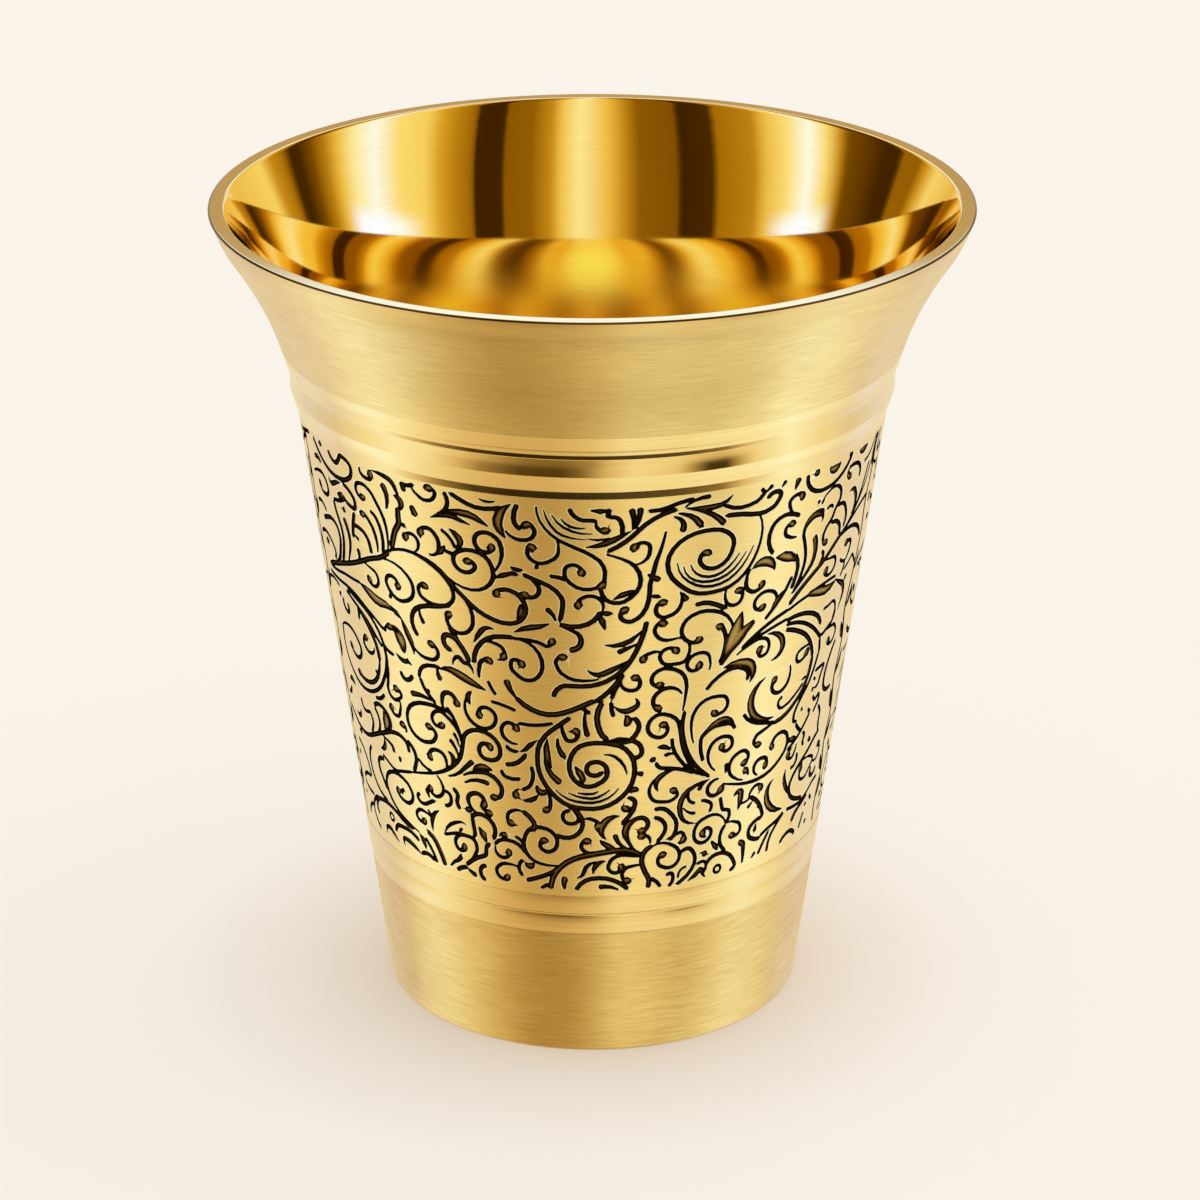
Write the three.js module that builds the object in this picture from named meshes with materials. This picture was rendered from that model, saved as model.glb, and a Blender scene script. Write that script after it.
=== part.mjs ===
// Double-walled brass tumbler with a flared lip, an engraved sleeve and two girdles of applied wire.
// Units are millimetres, +Z is up, and the origin is the centre of the foot on the table.
// Every piece is a body of revolution: it is drawn as a closed outline of (radius, height) points.
import * as THREE from "three";

// Heights of the bands that show outside, from the table up
const footShow = 18;
const lowerBeadWidth = 2.35;
const lowerGrooveWidth = 0.8;
const sleeveShow = 57.8;
const upperBeadWidth = 2.1;
const upperCoveWidth = 2.45;
const collarBeadWidth = 3; // the topmost bead, which runs on to the collar
const collarShow = 14.35;
const rimBandHeight = 2.8;

// Outside radii
const footRadius = 27;
const shoulderRadius = 37.9; // top seam of the sleeve
const girdleStep = 1.35; // the bottom seam of the collar is this much wider than the top of the sleeve
const lipRadius = 48; // outer top corner of the rim band
const collarStartSlope = 0.25; // how fast the flare opens at its foot, radius per height

// Sheet and wire
const outerSheet = 0.5;
const linerSheet = 0.5;
const baseSheet = 1;
const beadHeight = 0.25;
const coveDepth = 0.25;

// Rim band
const rimBandTaper = 0.65; // the band leans out by this much from its lower edge to the lip
const rimStep = 0.1; // it stands this far proud of the collar at its lower edge
const rimLand = 1.72; // flat width of the lip, with its outer rounding
const rimRound = 0.45;
const rimChamfer = 0.3;
const rimSpigot = 0.6; // how far the band reaches down inside the collar
const linerReach = 0.9; // how far the liner reaches up into the band

// Joints
const solderGap = 0.1;
const fittingGap = 0.1; // more room than the solder takes, between the liner and the sheets round it
const floorGap = 1.4; // between the base plate and the liner's bottom
const footFlangeWidth = 2.6;
const footFlangeThickness = 0.8;
const footEdgeRound = 0.4;
const linerCornerRadius = 6;
const linerFlareDrop = 5; // the liner starts to open this far below the sleeve's top seam
const linerFlarePower = 2.6; // how late it opens

// Fineness of the round shapes
const turnSteps = 48;
const flareSteps = 6;
const beadSteps = 5;
const cornerSteps = 4;
const roundSteps = 2;

// Seams, each hidden under a bead
const lowerSeamBottom = footShow + lowerBeadWidth / 2;
const lowerSeamTop = lowerSeamBottom + lowerBeadWidth + lowerGrooveWidth;
const sleeveBottomEdge = lowerSeamTop + lowerBeadWidth / 2;
const upperSeamBottom = sleeveBottomEdge + sleeveShow + upperBeadWidth / 2;
const upperSeamTop = upperSeamBottom + upperBeadWidth + upperCoveWidth;
const rimBase = upperSeamTop - upperBeadWidth / 2 + collarBeadWidth + collarShow;
const lipTop = rimBase + rimBandHeight;

const collarFootRadius = shoulderRadius + girdleStep;
const collarTopRadius = lipRadius - rimBandTaper - rimStep;
const linerEdge = rimBase + linerReach;
const collarMiddle = (upperSeamTop + rimBase) / 2;
const collarMiddleRadius = collarFootRadius + collarStartSlope * (collarMiddle - upperSeamTop);

const point = (radius, height) => new THREE.Vector2(radius, height);
const mix = (a, b, share) => a + (b - a) * share;
const upTo = (count) => Array.from({ length: count + 1 }, (_, i) => i / count);

// The straight taper that the foot, the sleeve and the liner share
const coneRadius = (height) => mix(footRadius, shoulderRadius, height / upperSeamBottom);

// Outside radius of the wall, without the beads, at a height
function wallRadius(height) {
  if (height <= upperSeamBottom) {
    return coneRadius(height);
  }
  if (height <= upperSeamTop) {
    const share = (height - upperSeamBottom) / (upperSeamTop - upperSeamBottom);
    return mix(shoulderRadius, collarFootRadius, share);
  }
  const share = (height - upperSeamTop) / (rimBase - upperSeamTop);
  const low = mix(collarFootRadius, collarMiddleRadius, share);
  return mix(low, mix(collarMiddleRadius, collarTopRadius, share), share);
}

// Points along the wall between two heights, set in by an amount
function alongWall(from, to, inset, steps) {
  return upTo(steps).map((share) => {
    const height = mix(from, to, share);
    return point(wallRadius(height) - inset, height);
  });
}

// Inside radius of the cup: a cone inside the sheets, then a flare that opens to the inner edge of the lip
const linerInset = outerSheet + solderGap + fittingGap;
const cupDepth = linerInset + linerSheet;
const lipEdge = lipTop - rimChamfer;
const lipEdgeRadius = lipRadius - rimLand - rimChamfer;
const linerFlareStart = upperSeamBottom - linerFlareDrop;
const linerFlare = lipEdgeRadius - (coneRadius(lipEdge) - cupDepth);

function cupRadius(height) {
  const rise = Math.max(0, height - linerFlareStart) / (lipEdge - linerFlareStart);
  return coneRadius(height) - cupDepth + linerFlare * rise ** linerFlarePower;
}

// A solid turned about +Z from a closed outline, which runs anticlockwise in (radius, height)
function turned(name, outline, material) {
  const geometry = new THREE.LatheGeometry([...outline, outline[0].clone()], turnSteps);
  geometry.rotateX(Math.PI / 2);
  const mesh = new THREE.Mesh(geometry, material);
  mesh.name = name;
  return mesh;
}

// Finishes
const brass = (color, roughness) =>
  new THREE.MeshStandardMaterial({ color, roughness, metalness: 1 });
const brushedBrass = brass(0xd8b566, 0.42);
const rimBrass = brass(0xd4b478, 0.35);
const polishedBrass = brass(0xe2b850, 0.12);
const beadBrass = brass(0xe6c36c, 0.22);
const engravedBrass = brass(0xdcba6c, 0.3);
const baseBrass = brass(0xb8924a, 0.5);

// The foot band is turned in at the bottom: the tumbler stands on that flange
function footBand() {
  const top = lowerSeamBottom - solderGap / 2;
  const flangeInside = footRadius - footFlangeWidth;
  const edge = upTo(roundSteps).map((share) => {
    const angle = mix(-Math.PI / 2, 0, share);
    const centre = wallRadius(footEdgeRound) - footEdgeRound;
    return point(centre + footEdgeRound * Math.cos(angle), footEdgeRound * (1 + Math.sin(angle)));
  });
  return turned(
    "foot_band",
    [
      point(flangeInside, 0),
      ...edge,
      point(wallRadius(top), top),
      point(wallRadius(top) - outerSheet, top),
      point(wallRadius(footFlangeThickness) - outerSheet, footFlangeThickness),
      point(flangeInside, footFlangeThickness),
    ],
    brushedBrass,
  );
}

// The base plate drops into the foot band and lies on its flange
const basePlateTop = footFlangeThickness + baseSheet;

function basePlate() {
  const fit = outerSheet + solderGap;
  return turned(
    "base_plate",
    [
      point(0, footFlangeThickness),
      point(wallRadius(footFlangeThickness) - fit, footFlangeThickness),
      point(wallRadius(basePlateTop) - fit, basePlateTop),
      point(0, basePlateTop),
    ],
    baseBrass,
  );
}

// A joint ring lies between two sheets, and its cove shows between two beads
function jointRing(name, bottomSeam, topSeam, beadWidth) {
  const bottom = bottomSeam + solderGap / 2;
  const top = topSeam - solderGap / 2;
  const coveBottom = bottomSeam + beadWidth / 2;
  const coveTop = topSeam - beadWidth / 2;
  const cove = upTo(cornerSteps).map((share) => {
    const height = mix(coveBottom, coveTop, share);
    return point(wallRadius(height) - coveDepth * Math.sin(Math.PI * share), height);
  });
  return turned(
    name,
    [
      point(wallRadius(bottom) - outerSheet, bottom),
      point(wallRadius(bottom), bottom),
      ...cove,
      point(wallRadius(top), top),
      point(wallRadius(top) - outerSheet, top),
    ],
    beadBrass,
  );
}

// A low half-round wire soldered over a seam
function bead(name, bottom, seam, top) {
  const back = [top, seam, bottom].map((h) => point(wallRadius(h) + solderGap, h));
  const crown = upTo(beadSteps)
    .slice(1, -1)
    .map((share) => {
      const height = mix(bottom, top, 0.5 - 0.5 * Math.cos(Math.PI * share));
      return point(wallRadius(height) + solderGap + beadHeight * Math.sin(Math.PI * share), height);
    });
  return turned(name, [back[2], ...crown, back[0], back[1]], beadBrass);
}

const seamBead = (name, seam, width) => bead(name, seam - width / 2, seam, seam + width / 2);
const collarBeadBottom = upperSeamTop - upperBeadWidth / 2;

// The sleeve is a plain cone here, and its ends are tucked under the beads
function engravedSleeve() {
  const bottom = lowerSeamTop + solderGap / 2;
  const top = upperSeamBottom - solderGap / 2;
  return turned(
    "engraved_sleeve",
    [...alongWall(bottom, top, 0, 1), ...alongWall(top, bottom, outerSheet, 1)],
    engravedBrass,
  );
}

function lipCollar() {
  const bottom = upperSeamTop + solderGap / 2;
  const top = rimBase - solderGap;
  return turned(
    "lip_collar",
    [...alongWall(bottom, top, 0, flareSteps), ...alongWall(top, bottom, outerSheet, flareSteps)],
    brushedBrass,
  );
}

// The rim band stands on the collar's edge, with a spigot inside it, and covers the liner's edge
function rimBand() {
  const roof = linerEdge + solderGap;
  const lean = rimBandTaper / rimBandHeight;
  const roundFoot = lipTop - rimRound;
  const collarFit = outerSheet + solderGap;
  const spigotBottom = rimBase - rimSpigot;
  const spigotInside = cupRadius(linerEdge) + linerSheet + solderGap;
  const corner = upTo(roundSteps).map((share) => {
    const angle = mix(0, Math.PI / 2, share);
    const centre = lipRadius - lean * rimRound - rimRound;
    return point(centre + rimRound * Math.cos(angle), roundFoot + rimRound * Math.sin(angle));
  });
  return turned(
    "rim_band",
    [
      point(spigotInside, spigotBottom),
      point(wallRadius(spigotBottom) - collarFit, spigotBottom),
      point(wallRadius(rimBase) - collarFit, rimBase),
      point(lipRadius - rimBandTaper, rimBase),
      ...corner,
      point(lipRadius - rimLand, lipTop),
      point(lipEdgeRadius, lipEdge),
      point(cupRadius(roof), roof),
      point(spigotInside, roof),
    ],
    rimBrass,
  );
}

// The liner is the cup that holds the drink: it hangs from the rim and stays clear of the base plate
function innerLiner() {
  const bottom = basePlateTop + floorGap;
  const wallFoot = bottom + linerCornerRadius;
  const floorOuter = cupRadius(wallFoot) + linerSheet - linerCornerRadius;
  const cornerArc = (radius) =>
    upTo(cornerSteps).map((share) => {
      const angle = mix(-Math.PI / 2, 0, share);
      return point(floorOuter + radius * Math.cos(angle), wallFoot + radius * Math.sin(angle));
    });
  const flare = (sheet) =>
    upTo(flareSteps).map((share) => {
      const height = mix(linerFlareStart, linerEdge, share);
      return point(cupRadius(height) + sheet, height);
    });
  return turned(
    "inner_liner",
    [
      point(0, bottom),
      ...cornerArc(linerCornerRadius),
      ...flare(linerSheet),
      ...flare(0).reverse(),
      ...cornerArc(linerCornerRadius - linerSheet).reverse(),
      point(0, bottom + linerSheet),
    ],
    polishedBrass,
  );
}

const tumbler = new THREE.Group();
tumbler.add(
  footBand(),
  basePlate(),
  jointRing("lower_joint_ring", lowerSeamBottom, lowerSeamTop, lowerBeadWidth),
  seamBead("lower_bead_bottom", lowerSeamBottom, lowerBeadWidth),
  seamBead("lower_bead_top", lowerSeamTop, lowerBeadWidth),
  engravedSleeve(),
  jointRing("upper_joint_ring", upperSeamBottom, upperSeamTop, upperBeadWidth),
  seamBead("upper_bead_bottom", upperSeamBottom, upperBeadWidth),
  bead("upper_bead_top", collarBeadBottom, upperSeamTop, collarBeadBottom + collarBeadWidth),
  lipCollar(),
  rimBand(),
  innerLiner(),
);

export default tumbler;
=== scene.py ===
import math
import bmesh
import bpy
from mathutils import Matrix, Vector, kdtree
from mathutils.geometry import delaunay_2d_cdt, interpolate_bezier


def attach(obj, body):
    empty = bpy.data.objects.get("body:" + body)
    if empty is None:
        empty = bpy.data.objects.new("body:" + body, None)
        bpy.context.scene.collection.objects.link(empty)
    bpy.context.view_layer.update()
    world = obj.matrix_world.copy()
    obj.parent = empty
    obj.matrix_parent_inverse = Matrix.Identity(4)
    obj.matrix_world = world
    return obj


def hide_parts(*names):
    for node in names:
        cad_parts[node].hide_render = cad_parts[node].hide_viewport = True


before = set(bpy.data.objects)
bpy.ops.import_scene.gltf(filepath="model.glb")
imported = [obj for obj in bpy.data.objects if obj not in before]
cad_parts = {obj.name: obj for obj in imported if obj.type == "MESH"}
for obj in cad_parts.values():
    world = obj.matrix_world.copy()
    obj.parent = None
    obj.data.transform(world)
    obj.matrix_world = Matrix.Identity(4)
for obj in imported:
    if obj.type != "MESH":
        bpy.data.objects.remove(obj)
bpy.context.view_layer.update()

mm = 0.001
scene = bpy.context.scene


def linear(hexColour):
    # an sRGB hex colour as linear red, green, blue and alpha
    channels = [int(hexColour[i:i + 2], 16) / 255 for i in (1, 3, 5)]
    return [c / 12.92 if c <= 0.04045 else ((c + 0.055) / 1.055) ** 2.4 for c in channels] + [1.0]


def addNode(tree, kind, inputs=None, **settings):
    # inputs hold plain values, or the sockets to link from
    node = tree.nodes.new(kind)
    for name, value in settings.items():
        setattr(node, name, value)
    for name, value in (inputs or {}).items():
        if isinstance(value, bpy.types.NodeSocket):
            tree.links.new(value, node.inputs[name])
        else:
            node.inputs[name].default_value = value
    return node


def emptyTree(owner):
    # the node tree of a new material or world, with nothing in it yet
    owner.use_nodes = True
    owner.node_tree.nodes.clear()
    return owner.node_tree


# Camera: the photograph's viewpoint, about 22 degrees above the horizon. place is in metres, pitch in
# degrees, lens and sensor in mm
photoCamera = {"place": (0.00096, -0.531, 0.2706), "pitch": 22.41, "lens": 132.45, "sensor": 36}

cameraData = bpy.data.cameras.new("photoCamera")
cameraData.lens = photoCamera["lens"]
cameraData.sensor_width = photoCamera["sensor"]
camera = bpy.data.objects.new("photoCamera", cameraData)
camera.location = photoCamera["place"]
camera.rotation_euler = (math.radians(90 - photoCamera["pitch"]), 0, 0)
scene.collection.objects.link(camera)
scene.camera = camera

# Light: a tent of white panels with gaps between them. What metal shows depends on the way it faces, so the
# tent is written by that: degrees round from the camera's side, plus to the right, and how bright the panel
# is that a mirror facing there shows to the camera.
lightTent = {
    "backdrop": "#faf3e9",
    # metal that stands or faces down, the outside of the cup: first its undersides
    "undersides": [
        (-85, 1.5), (-45, 1.5), (-34, 0.6), (-26, 0.06), (24, 0.06), (32, 0.8), (42, 1.6), (85, 1.5)],
    # then zones one above the other, each with the sines of the tilts between which it takes over
    "zones": [
        # below the flare
        ((-0.66, -0.62), [
            (-85, 1.5), (-72, 1.5), (-58, 1.45), (-48, 2.6), (-41, 4.2), (-33, 2.8), (-24, 1.4),
            (-16, 0.72), (-8, 0.85), (0, 1.4), (8, 2.4), (16, 2.3), (24, 2.3), (32, 2.7), (40, 4.2),
            (48, 2.6), (57, 1.5), (72, 1.5), (85, 1.5)]),
        # a narrow dark strip low in front, which the flanks of polished beads show
        ((-0.415, -0.40), [
            (-85, 1.5), (-60, 1.4), (-50, 2.6), (-43, 3.2), (-37, 1.4), (-31, 0.35), (-24, 0.06),
            (-16, 0.02), (0, 0.02), (9, 0.05), (18, 0.1), (26, 0.3), (31, 1.4), (40, 4.0), (50, 2.3),
            (60, 1.5), (85, 1.5)]),
        # level with the cup's middle, dimmer to the sides in its lower half
        ((-0.355, -0.34), [
            (-85, 1.55), (-72, 1.5), (-58, 1.4), (-50, 2.4), (-43, 3.6), (-38, 3.0), (-32, 2.1),
            (-24, 1.35), (-16, 1.05), (-8, 1.05), (0, 1.45), (6, 2.5), (16, 2.4), (24, 2.6), (32, 3.0),
            (40, 3.8), (48, 2.4), (56, 1.6), (64, 1.5), (72, 1.55), (85, 1.55)]),
        ((-0.27, -0.22), [
            (-85, 1.75), (-72, 1.7), (-58, 1.7), (-50, 3.8), (-43, 4.6), (-38, 3.4), (-32, 2.2),
            (-24, 1.4), (-16, 1.1), (-8, 1.1), (0, 1.6), (6, 2.7), (16, 2.6), (24, 2.9), (32, 3.5),
            (40, 4.8), (48, 3.3), (56, 2.0), (64, 1.8), (72, 1.75), (85, 1.75)]),
        # above it, with two gaps that are deepest at the top
        ((-0.125, -0.095), [
            (-85, 1.7), (-72, 1.4), (-58, 1.35), (-48, 2.4), (-40, 3.5), (-32, 2.6), (-24, 1.3),
            (-17, 0.55), (-12, 0.3), (-6, 0.26), (0, 0.5), (4, 1.5), (8, 2.4), (16, 2.0), (20, 1.4),
            (24, 1.2), (28, 1.6), (32, 2.2), (40, 3.9), (48, 2.4), (57, 1.5), (72, 1.5), (85, 1.7)]),
        ((-0.05, -0.02), [
            (-85, 1.7), (-72, 1.4), (-58, 1.35), (-48, 2.4), (-40, 3.5), (-32, 2.4), (-26, 1.2),
            (-21, 0.4), (-14, 0.1), (-6, 0.08), (-2, 0.25), (3, 1.3), (8, 2.4), (16, 1.7), (19, 0.6),
            (22, 0.05), (26, 0.05), (29, 0.9), (32, 2.2), (40, 3.9), (48, 2.4), (57, 1.5), (72, 1.5),
            (85, 1.7)]),
    ],
    "paleFrom": (48, 64),         # degrees between which the side panels turn whiter
    "pale": (0.0, 0.34, 0.25),    # and how much of the brown they lose in red, green and blue
    # metal that faces up, the inside of the cup: by half the turn of the light itself
    "inside": [
        (-90, 4.6), (-81, 3.8), (-77, 1.6), (-70.5, 2.8), (-67.5, 1.0), (-65.5, 0.36), (-61.7, 0.36),
        (-61, 0.05), (-57.5, 0.06), (-55, 0.11), (-50.2, 0.2), (-48.8, 0.73), (-46, 3.1), (-42.5, 8),
        (-38.5, 3.6), (-34, 1.9), (-31.5, 0.72), (-24.2, 0.45), (-23.7, 0.07), (-17, 0.045),
        (-16.5, 0.25), (-9, 0.32), (-6.5, 0.75), (-3, 1.9), (2.5, 4.3), (6, 2.2), (8, 0.85),
        (12, 0.34), (17, 0.3), (17.6, 0.05), (22.9, 0.05), (23.4, 0.4), (27, 0.7), (30, 1.2),
        (33, 2.7), (38, 3.3), (43, 8), (47, 4.6), (50, 2.0), (52.5, 0.7), (55.5, 0.2), (58, 0.06),
        (60, 0.06), (61.5, 0.5), (64.5, 0.9), (67, 2.7), (70.5, 2.3), (77, 1.8), (81, 3.8), (90, 4.6)],
    "insideTilt": (0.19, 0.25),   # sines of the tilts between which these panels take over
    "glint": 2.4,                 # how much brighter low lamps make some of these panels
    "glintTurns": (37, 48),       # the degrees between which those lie, on both sides
    "glintRise": (0.24, 0.31),    # sines of the heights between which the lamps end
    "flatTilt": (0.93, 0.97),     # flat metal that faces straight up shows the tent's far side:
    "farWall": 0.72,              # a dim wall
    "farTop": 4.6,                # and a bright top
    "farRise": (0.308, 0.316),    # sines of the heights between which the wall ends
    "behind": 1.7,                # straight behind the cup
    "behindShare": (0.35, 0.7),   # lengths of the halfway vector between which that ends
    # How much of a panel's light the camera's film takes in as red, green and blue off satin and off polished
    # brass before it burns out, and the power of the level that it goes by. The brass colours are those that
    # the tent's light is meant for
    "satinFilm": ((1.0, 1.0), (0.46, 1.0), (0.09, 1.25)), "satinBrass": "#f6cf87",
    "polishedFilm": ((1.0, 1.0), (0.345, 1.05), (0.011, 2.3)), "polishedBrass": "#fbdf7e",
    # light for matt surfaces: even all round, and some from above on the right. keyPower is how narrow that
    # is, and keyGain makes up for it
    "evenLight": 0.75, "keyLight": 0.27, "keyFrom": (0.42, 0.16, 1.0), "keyPower": 8, "keyGain": 5.4,
}
mostStops = 30  # a ramp node holds 32


def burn(level, kind, sideways=0.0):
    # the tent's colour for a panel: bright panels burn out to white, dim ones go brown, side ones are paler
    taken = [1 - math.exp(-take * level ** power) for take, power in lightTent[kind + "Film"]]
    paler = [channel + sideways * pale * (taken[0] - channel)
             for channel, pale in zip(taken, lightTent["pale"])]
    return [channel / metal for channel, metal in zip(paler, linear(lightTent[kind + "Brass"]))] + [1]


def panelRamp(tree, share, panels, kind):
    # the panels as colour ramps over a half turn, one ramp after the other where there are many
    paleStart, paleEnd = lightTent["paleFrom"]
    shown = None
    for first in range(0, len(panels) - 1, mostStops):
        ramp = addNode(tree, "ShaderNodeValToRGB", {0: share})
        elements = ramp.color_ramp.elements
        elements.remove(elements[1])
        for i, (degrees, level) in enumerate(panels[first:first + mostStops + 1]):
            element = elements[0] if i == 0 else elements.new(1.0)
            element.position = (degrees + 90) / 180
            sideways = min(1, max(0, (abs(degrees) - paleStart) / (paleEnd - paleStart)))
            element.color = burn(level, kind, sideways if kind == "satin" else 0.0)
        if first == 0:
            shown = ramp.outputs[0]
        else:
            begins = (panels[first][0] + 90) / 180
            late = addNode(tree, "ShaderNodeMath", {0: share, 1: begins}, operation="GREATER_THAN").outputs[0]
            shown = addNode(tree, "ShaderNodeMix", {0: late, 6: shown, 7: ramp.outputs[0]},
                            data_type="RGBA").outputs[2]
    return shown


def laidOver(tree, lowest, layers):
    # colours one over the other: each takes over between two values of what it goes by
    shown = lowest
    for value, (start, end), colour in layers:
        share = addNode(tree, "ShaderNodeMapRange", {0: value, 1: start, 2: end}).outputs[0]
        shown = addNode(tree, "ShaderNodeMix", {0: share, 6: shown, 7: colour}, data_type="RGBA").outputs[2]
    return shown


def turnShare(tree, parts, fullTurn):
    # how far a direction is turned from the camera's side, as a share of the turn
    front = addNode(tree, "ShaderNodeMath", {0: parts[1], 1: -1.0}, operation="MULTIPLY").outputs[0]
    turn = addNode(tree, "ShaderNodeMath", {0: parts[0], 1: front}, operation="ARCTAN2").outputs[0]
    return addNode(tree, "ShaderNodeMapRange", {0: turn, 1: -fullTurn / 2, 2: fullTurn / 2}).outputs[0]


world = bpy.data.worlds.new("lightTent")
scene.world = world
tree = emptyTree(world)
ray = addNode(tree, "ShaderNodeTexCoord").outputs["Generated"]
rayParts = addNode(tree, "ShaderNodeSeparateXYZ", {0: ray}).outputs
rise = rayParts[2]
# halfway between a ray and the camera's direction lies the way that the mirror faces
pitch = math.radians(photoCamera["pitch"])
towardsCamera = (0, -math.cos(pitch), math.sin(pitch))
halfway = addNode(tree, "ShaderNodeVectorMath", {0: ray, 1: towardsCamera}).outputs[0]
awayFrom = addNode(tree, "ShaderNodeVectorMath", {0: halfway}, operation="LENGTH").outputs["Value"]
facing = addNode(tree, "ShaderNodeVectorMath", {0: halfway}, operation="NORMALIZE").outputs[0]
facingParts = addNode(tree, "ShaderNodeSeparateXYZ", {0: facing}).outputs
tilt = facingParts[2]
outsideTurn = turnShare(tree, facingParts, math.pi)
outside = laidOver(tree, panelRamp(tree, outsideTurn, lightTent["undersides"], "satin"), [
    (tilt, tilts, panelRamp(tree, outsideTurn, panels, "satin")) for tilts, panels in lightTent["zones"]])
insideTurn = turnShare(tree, rayParts, 2 * math.pi)
glintFrom, glintTo = lightTent["glintTurns"]
lampPanels = [(degrees, level * (lightTent["glint"] if glintFrom < abs(degrees) < glintTo else 1))
              for degrees, level in lightTent["inside"]]
inside = laidOver(tree, panelRamp(tree, insideTurn, lampPanels, "polished"), [
    (rise, lightTent["glintRise"], panelRamp(tree, insideTurn, lightTent["inside"], "polished"))])
farSide = laidOver(tree, burn(lightTent["farWall"], "satin"), [
    (rise, lightTent["farRise"], burn(lightTent["farTop"], "satin"))])
tent = laidOver(tree, burn(lightTent["behind"], "satin"), [
    (awayFrom, lightTent["behindShare"], outside),
    (tilt, lightTent["insideTilt"], inside),
    (tilt, lightTent["flatTilt"], farSide),
])
# matt surfaces get plain light, so a colour shows about as it is written
keyWay = Vector(lightTent["keyFrom"]).normalized()
towardsKey = addNode(tree, "ShaderNodeVectorMath", {0: ray, 1: keyWay},
                     operation="DOT_PRODUCT").outputs["Value"]
towardsKey = addNode(tree, "ShaderNodeMath", {0: towardsKey, 1: 0.0}, operation="MAXIMUM").outputs[0]
key = addNode(tree, "ShaderNodeMath", {0: towardsKey, 1: lightTent["keyPower"]}, operation="POWER").outputs[0]
plain = addNode(tree, "ShaderNodeMath", {0: key, 1: lightTent["keyLight"] * lightTent["keyGain"],
                                         2: lightTent["evenLight"]}, operation="MULTIPLY_ADD").outputs[0]
lightPath = addNode(tree, "ShaderNodeLightPath").outputs
lit = addNode(tree, "ShaderNodeMix", {0: lightPath["Is Diffuse Ray"], 6: tent, 7: plain},
              data_type="RGBA").outputs[2]
shown = addNode(tree, "ShaderNodeMix", {0: lightPath["Is Camera Ray"], 6: lit,
                                        7: linear(lightTent["backdrop"])}, data_type="RGBA").outputs[2]
sky = addNode(tree, "ShaderNodeBackground", {"Color": shown})
addNode(tree, "ShaderNodeOutputWorld", {0: sky.outputs[0]})
world.cycles.sampling_method = "NONE"  # the rays' own directions find the tent
scene.view_settings.view_transform = "Standard"
print("camera and light tent made")

sharpAngle = 30  # degrees between two faces from which their edge shows


def newPiece(name, bm, materials):
    # turns a bmesh into a smooth-shaded object at the origin
    mesh = bpy.data.meshes.new(name)
    bm.to_mesh(mesh)
    bm.free()
    for material in materials:
        mesh.materials.append(material)
    mesh.shade_smooth()
    mesh.set_sharp_from_angle(angle=math.radians(sharpAngle))
    piece = bpy.data.objects.new(name, mesh)
    scene.collection.objects.link(piece)
    return piece


# Floor: cream paper. Camera rays see most of it as painted brightness with a painted shadow that turns to the
# shade colour near the cup, so the shadow stays close and warm; the rest is lit as matt paper. shadeReach and
# drop are in mm, size in metres
floorPaper = {"colour": "#faf3e9", "shade": "#cca974", "paintedGlow": 0.7, "shadeReach": 30, "size": 8, "drop": 0.05}

paper = bpy.data.materials.new("creamPaper")
tree = emptyTree(paper)
nearness = addNode(tree, "ShaderNodeAmbientOcclusion",
                   {"Distance": floorPaper["shadeReach"] * mm}).outputs["AO"]
# painted shadow: the paper's colour turns to shade where the occlusion test finds the cup within shadeReach
paintedShadowColour = addNode(tree, "ShaderNodeMix", {0: nearness, 6: linear(floorPaper["shade"]),
                                             7: linear(floorPaper["colour"])}, data_type="RGBA").outputs[2]
seen = addNode(tree, "ShaderNodeLightPath").outputs["Is Camera Ray"]
paintedGlowLevel = addNode(tree, "ShaderNodeMath", {0: seen, 1: floorPaper["paintedGlow"]}, operation="MULTIPLY").outputs[0]
# painted brightness, seen only by the camera
paintedGlow = addNode(tree, "ShaderNodeEmission", {"Color": paintedShadowColour, "Strength": paintedGlowLevel})
matt = [channel * (1 - floorPaper["paintedGlow"]) for channel in linear(floorPaper["colour"])[:3]] + [1]
skin = addNode(tree, "ShaderNodeBsdfDiffuse", {"Color": matt})
both = addNode(tree, "ShaderNodeAddShader", {0: paintedGlow.outputs[0], 1: skin.outputs[0]})
addNode(tree, "ShaderNodeOutputMaterial", {0: both.outputs[0]})
paper.cycles.emission_sampling = "NONE"  # it lights nothing
bm = bmesh.new()
bmesh.ops.create_grid(bm, x_segments=1, y_segments=1, size=floorPaper["size"])
bmesh.ops.translate(bm, verts=bm.verts, vec=(0, 0, -floorPaper["drop"] * mm))
floor = newPiece("floor", bm, [paper])
floor.visible_glossy = False  # the metal shows the tent's lower panels in its place

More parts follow.
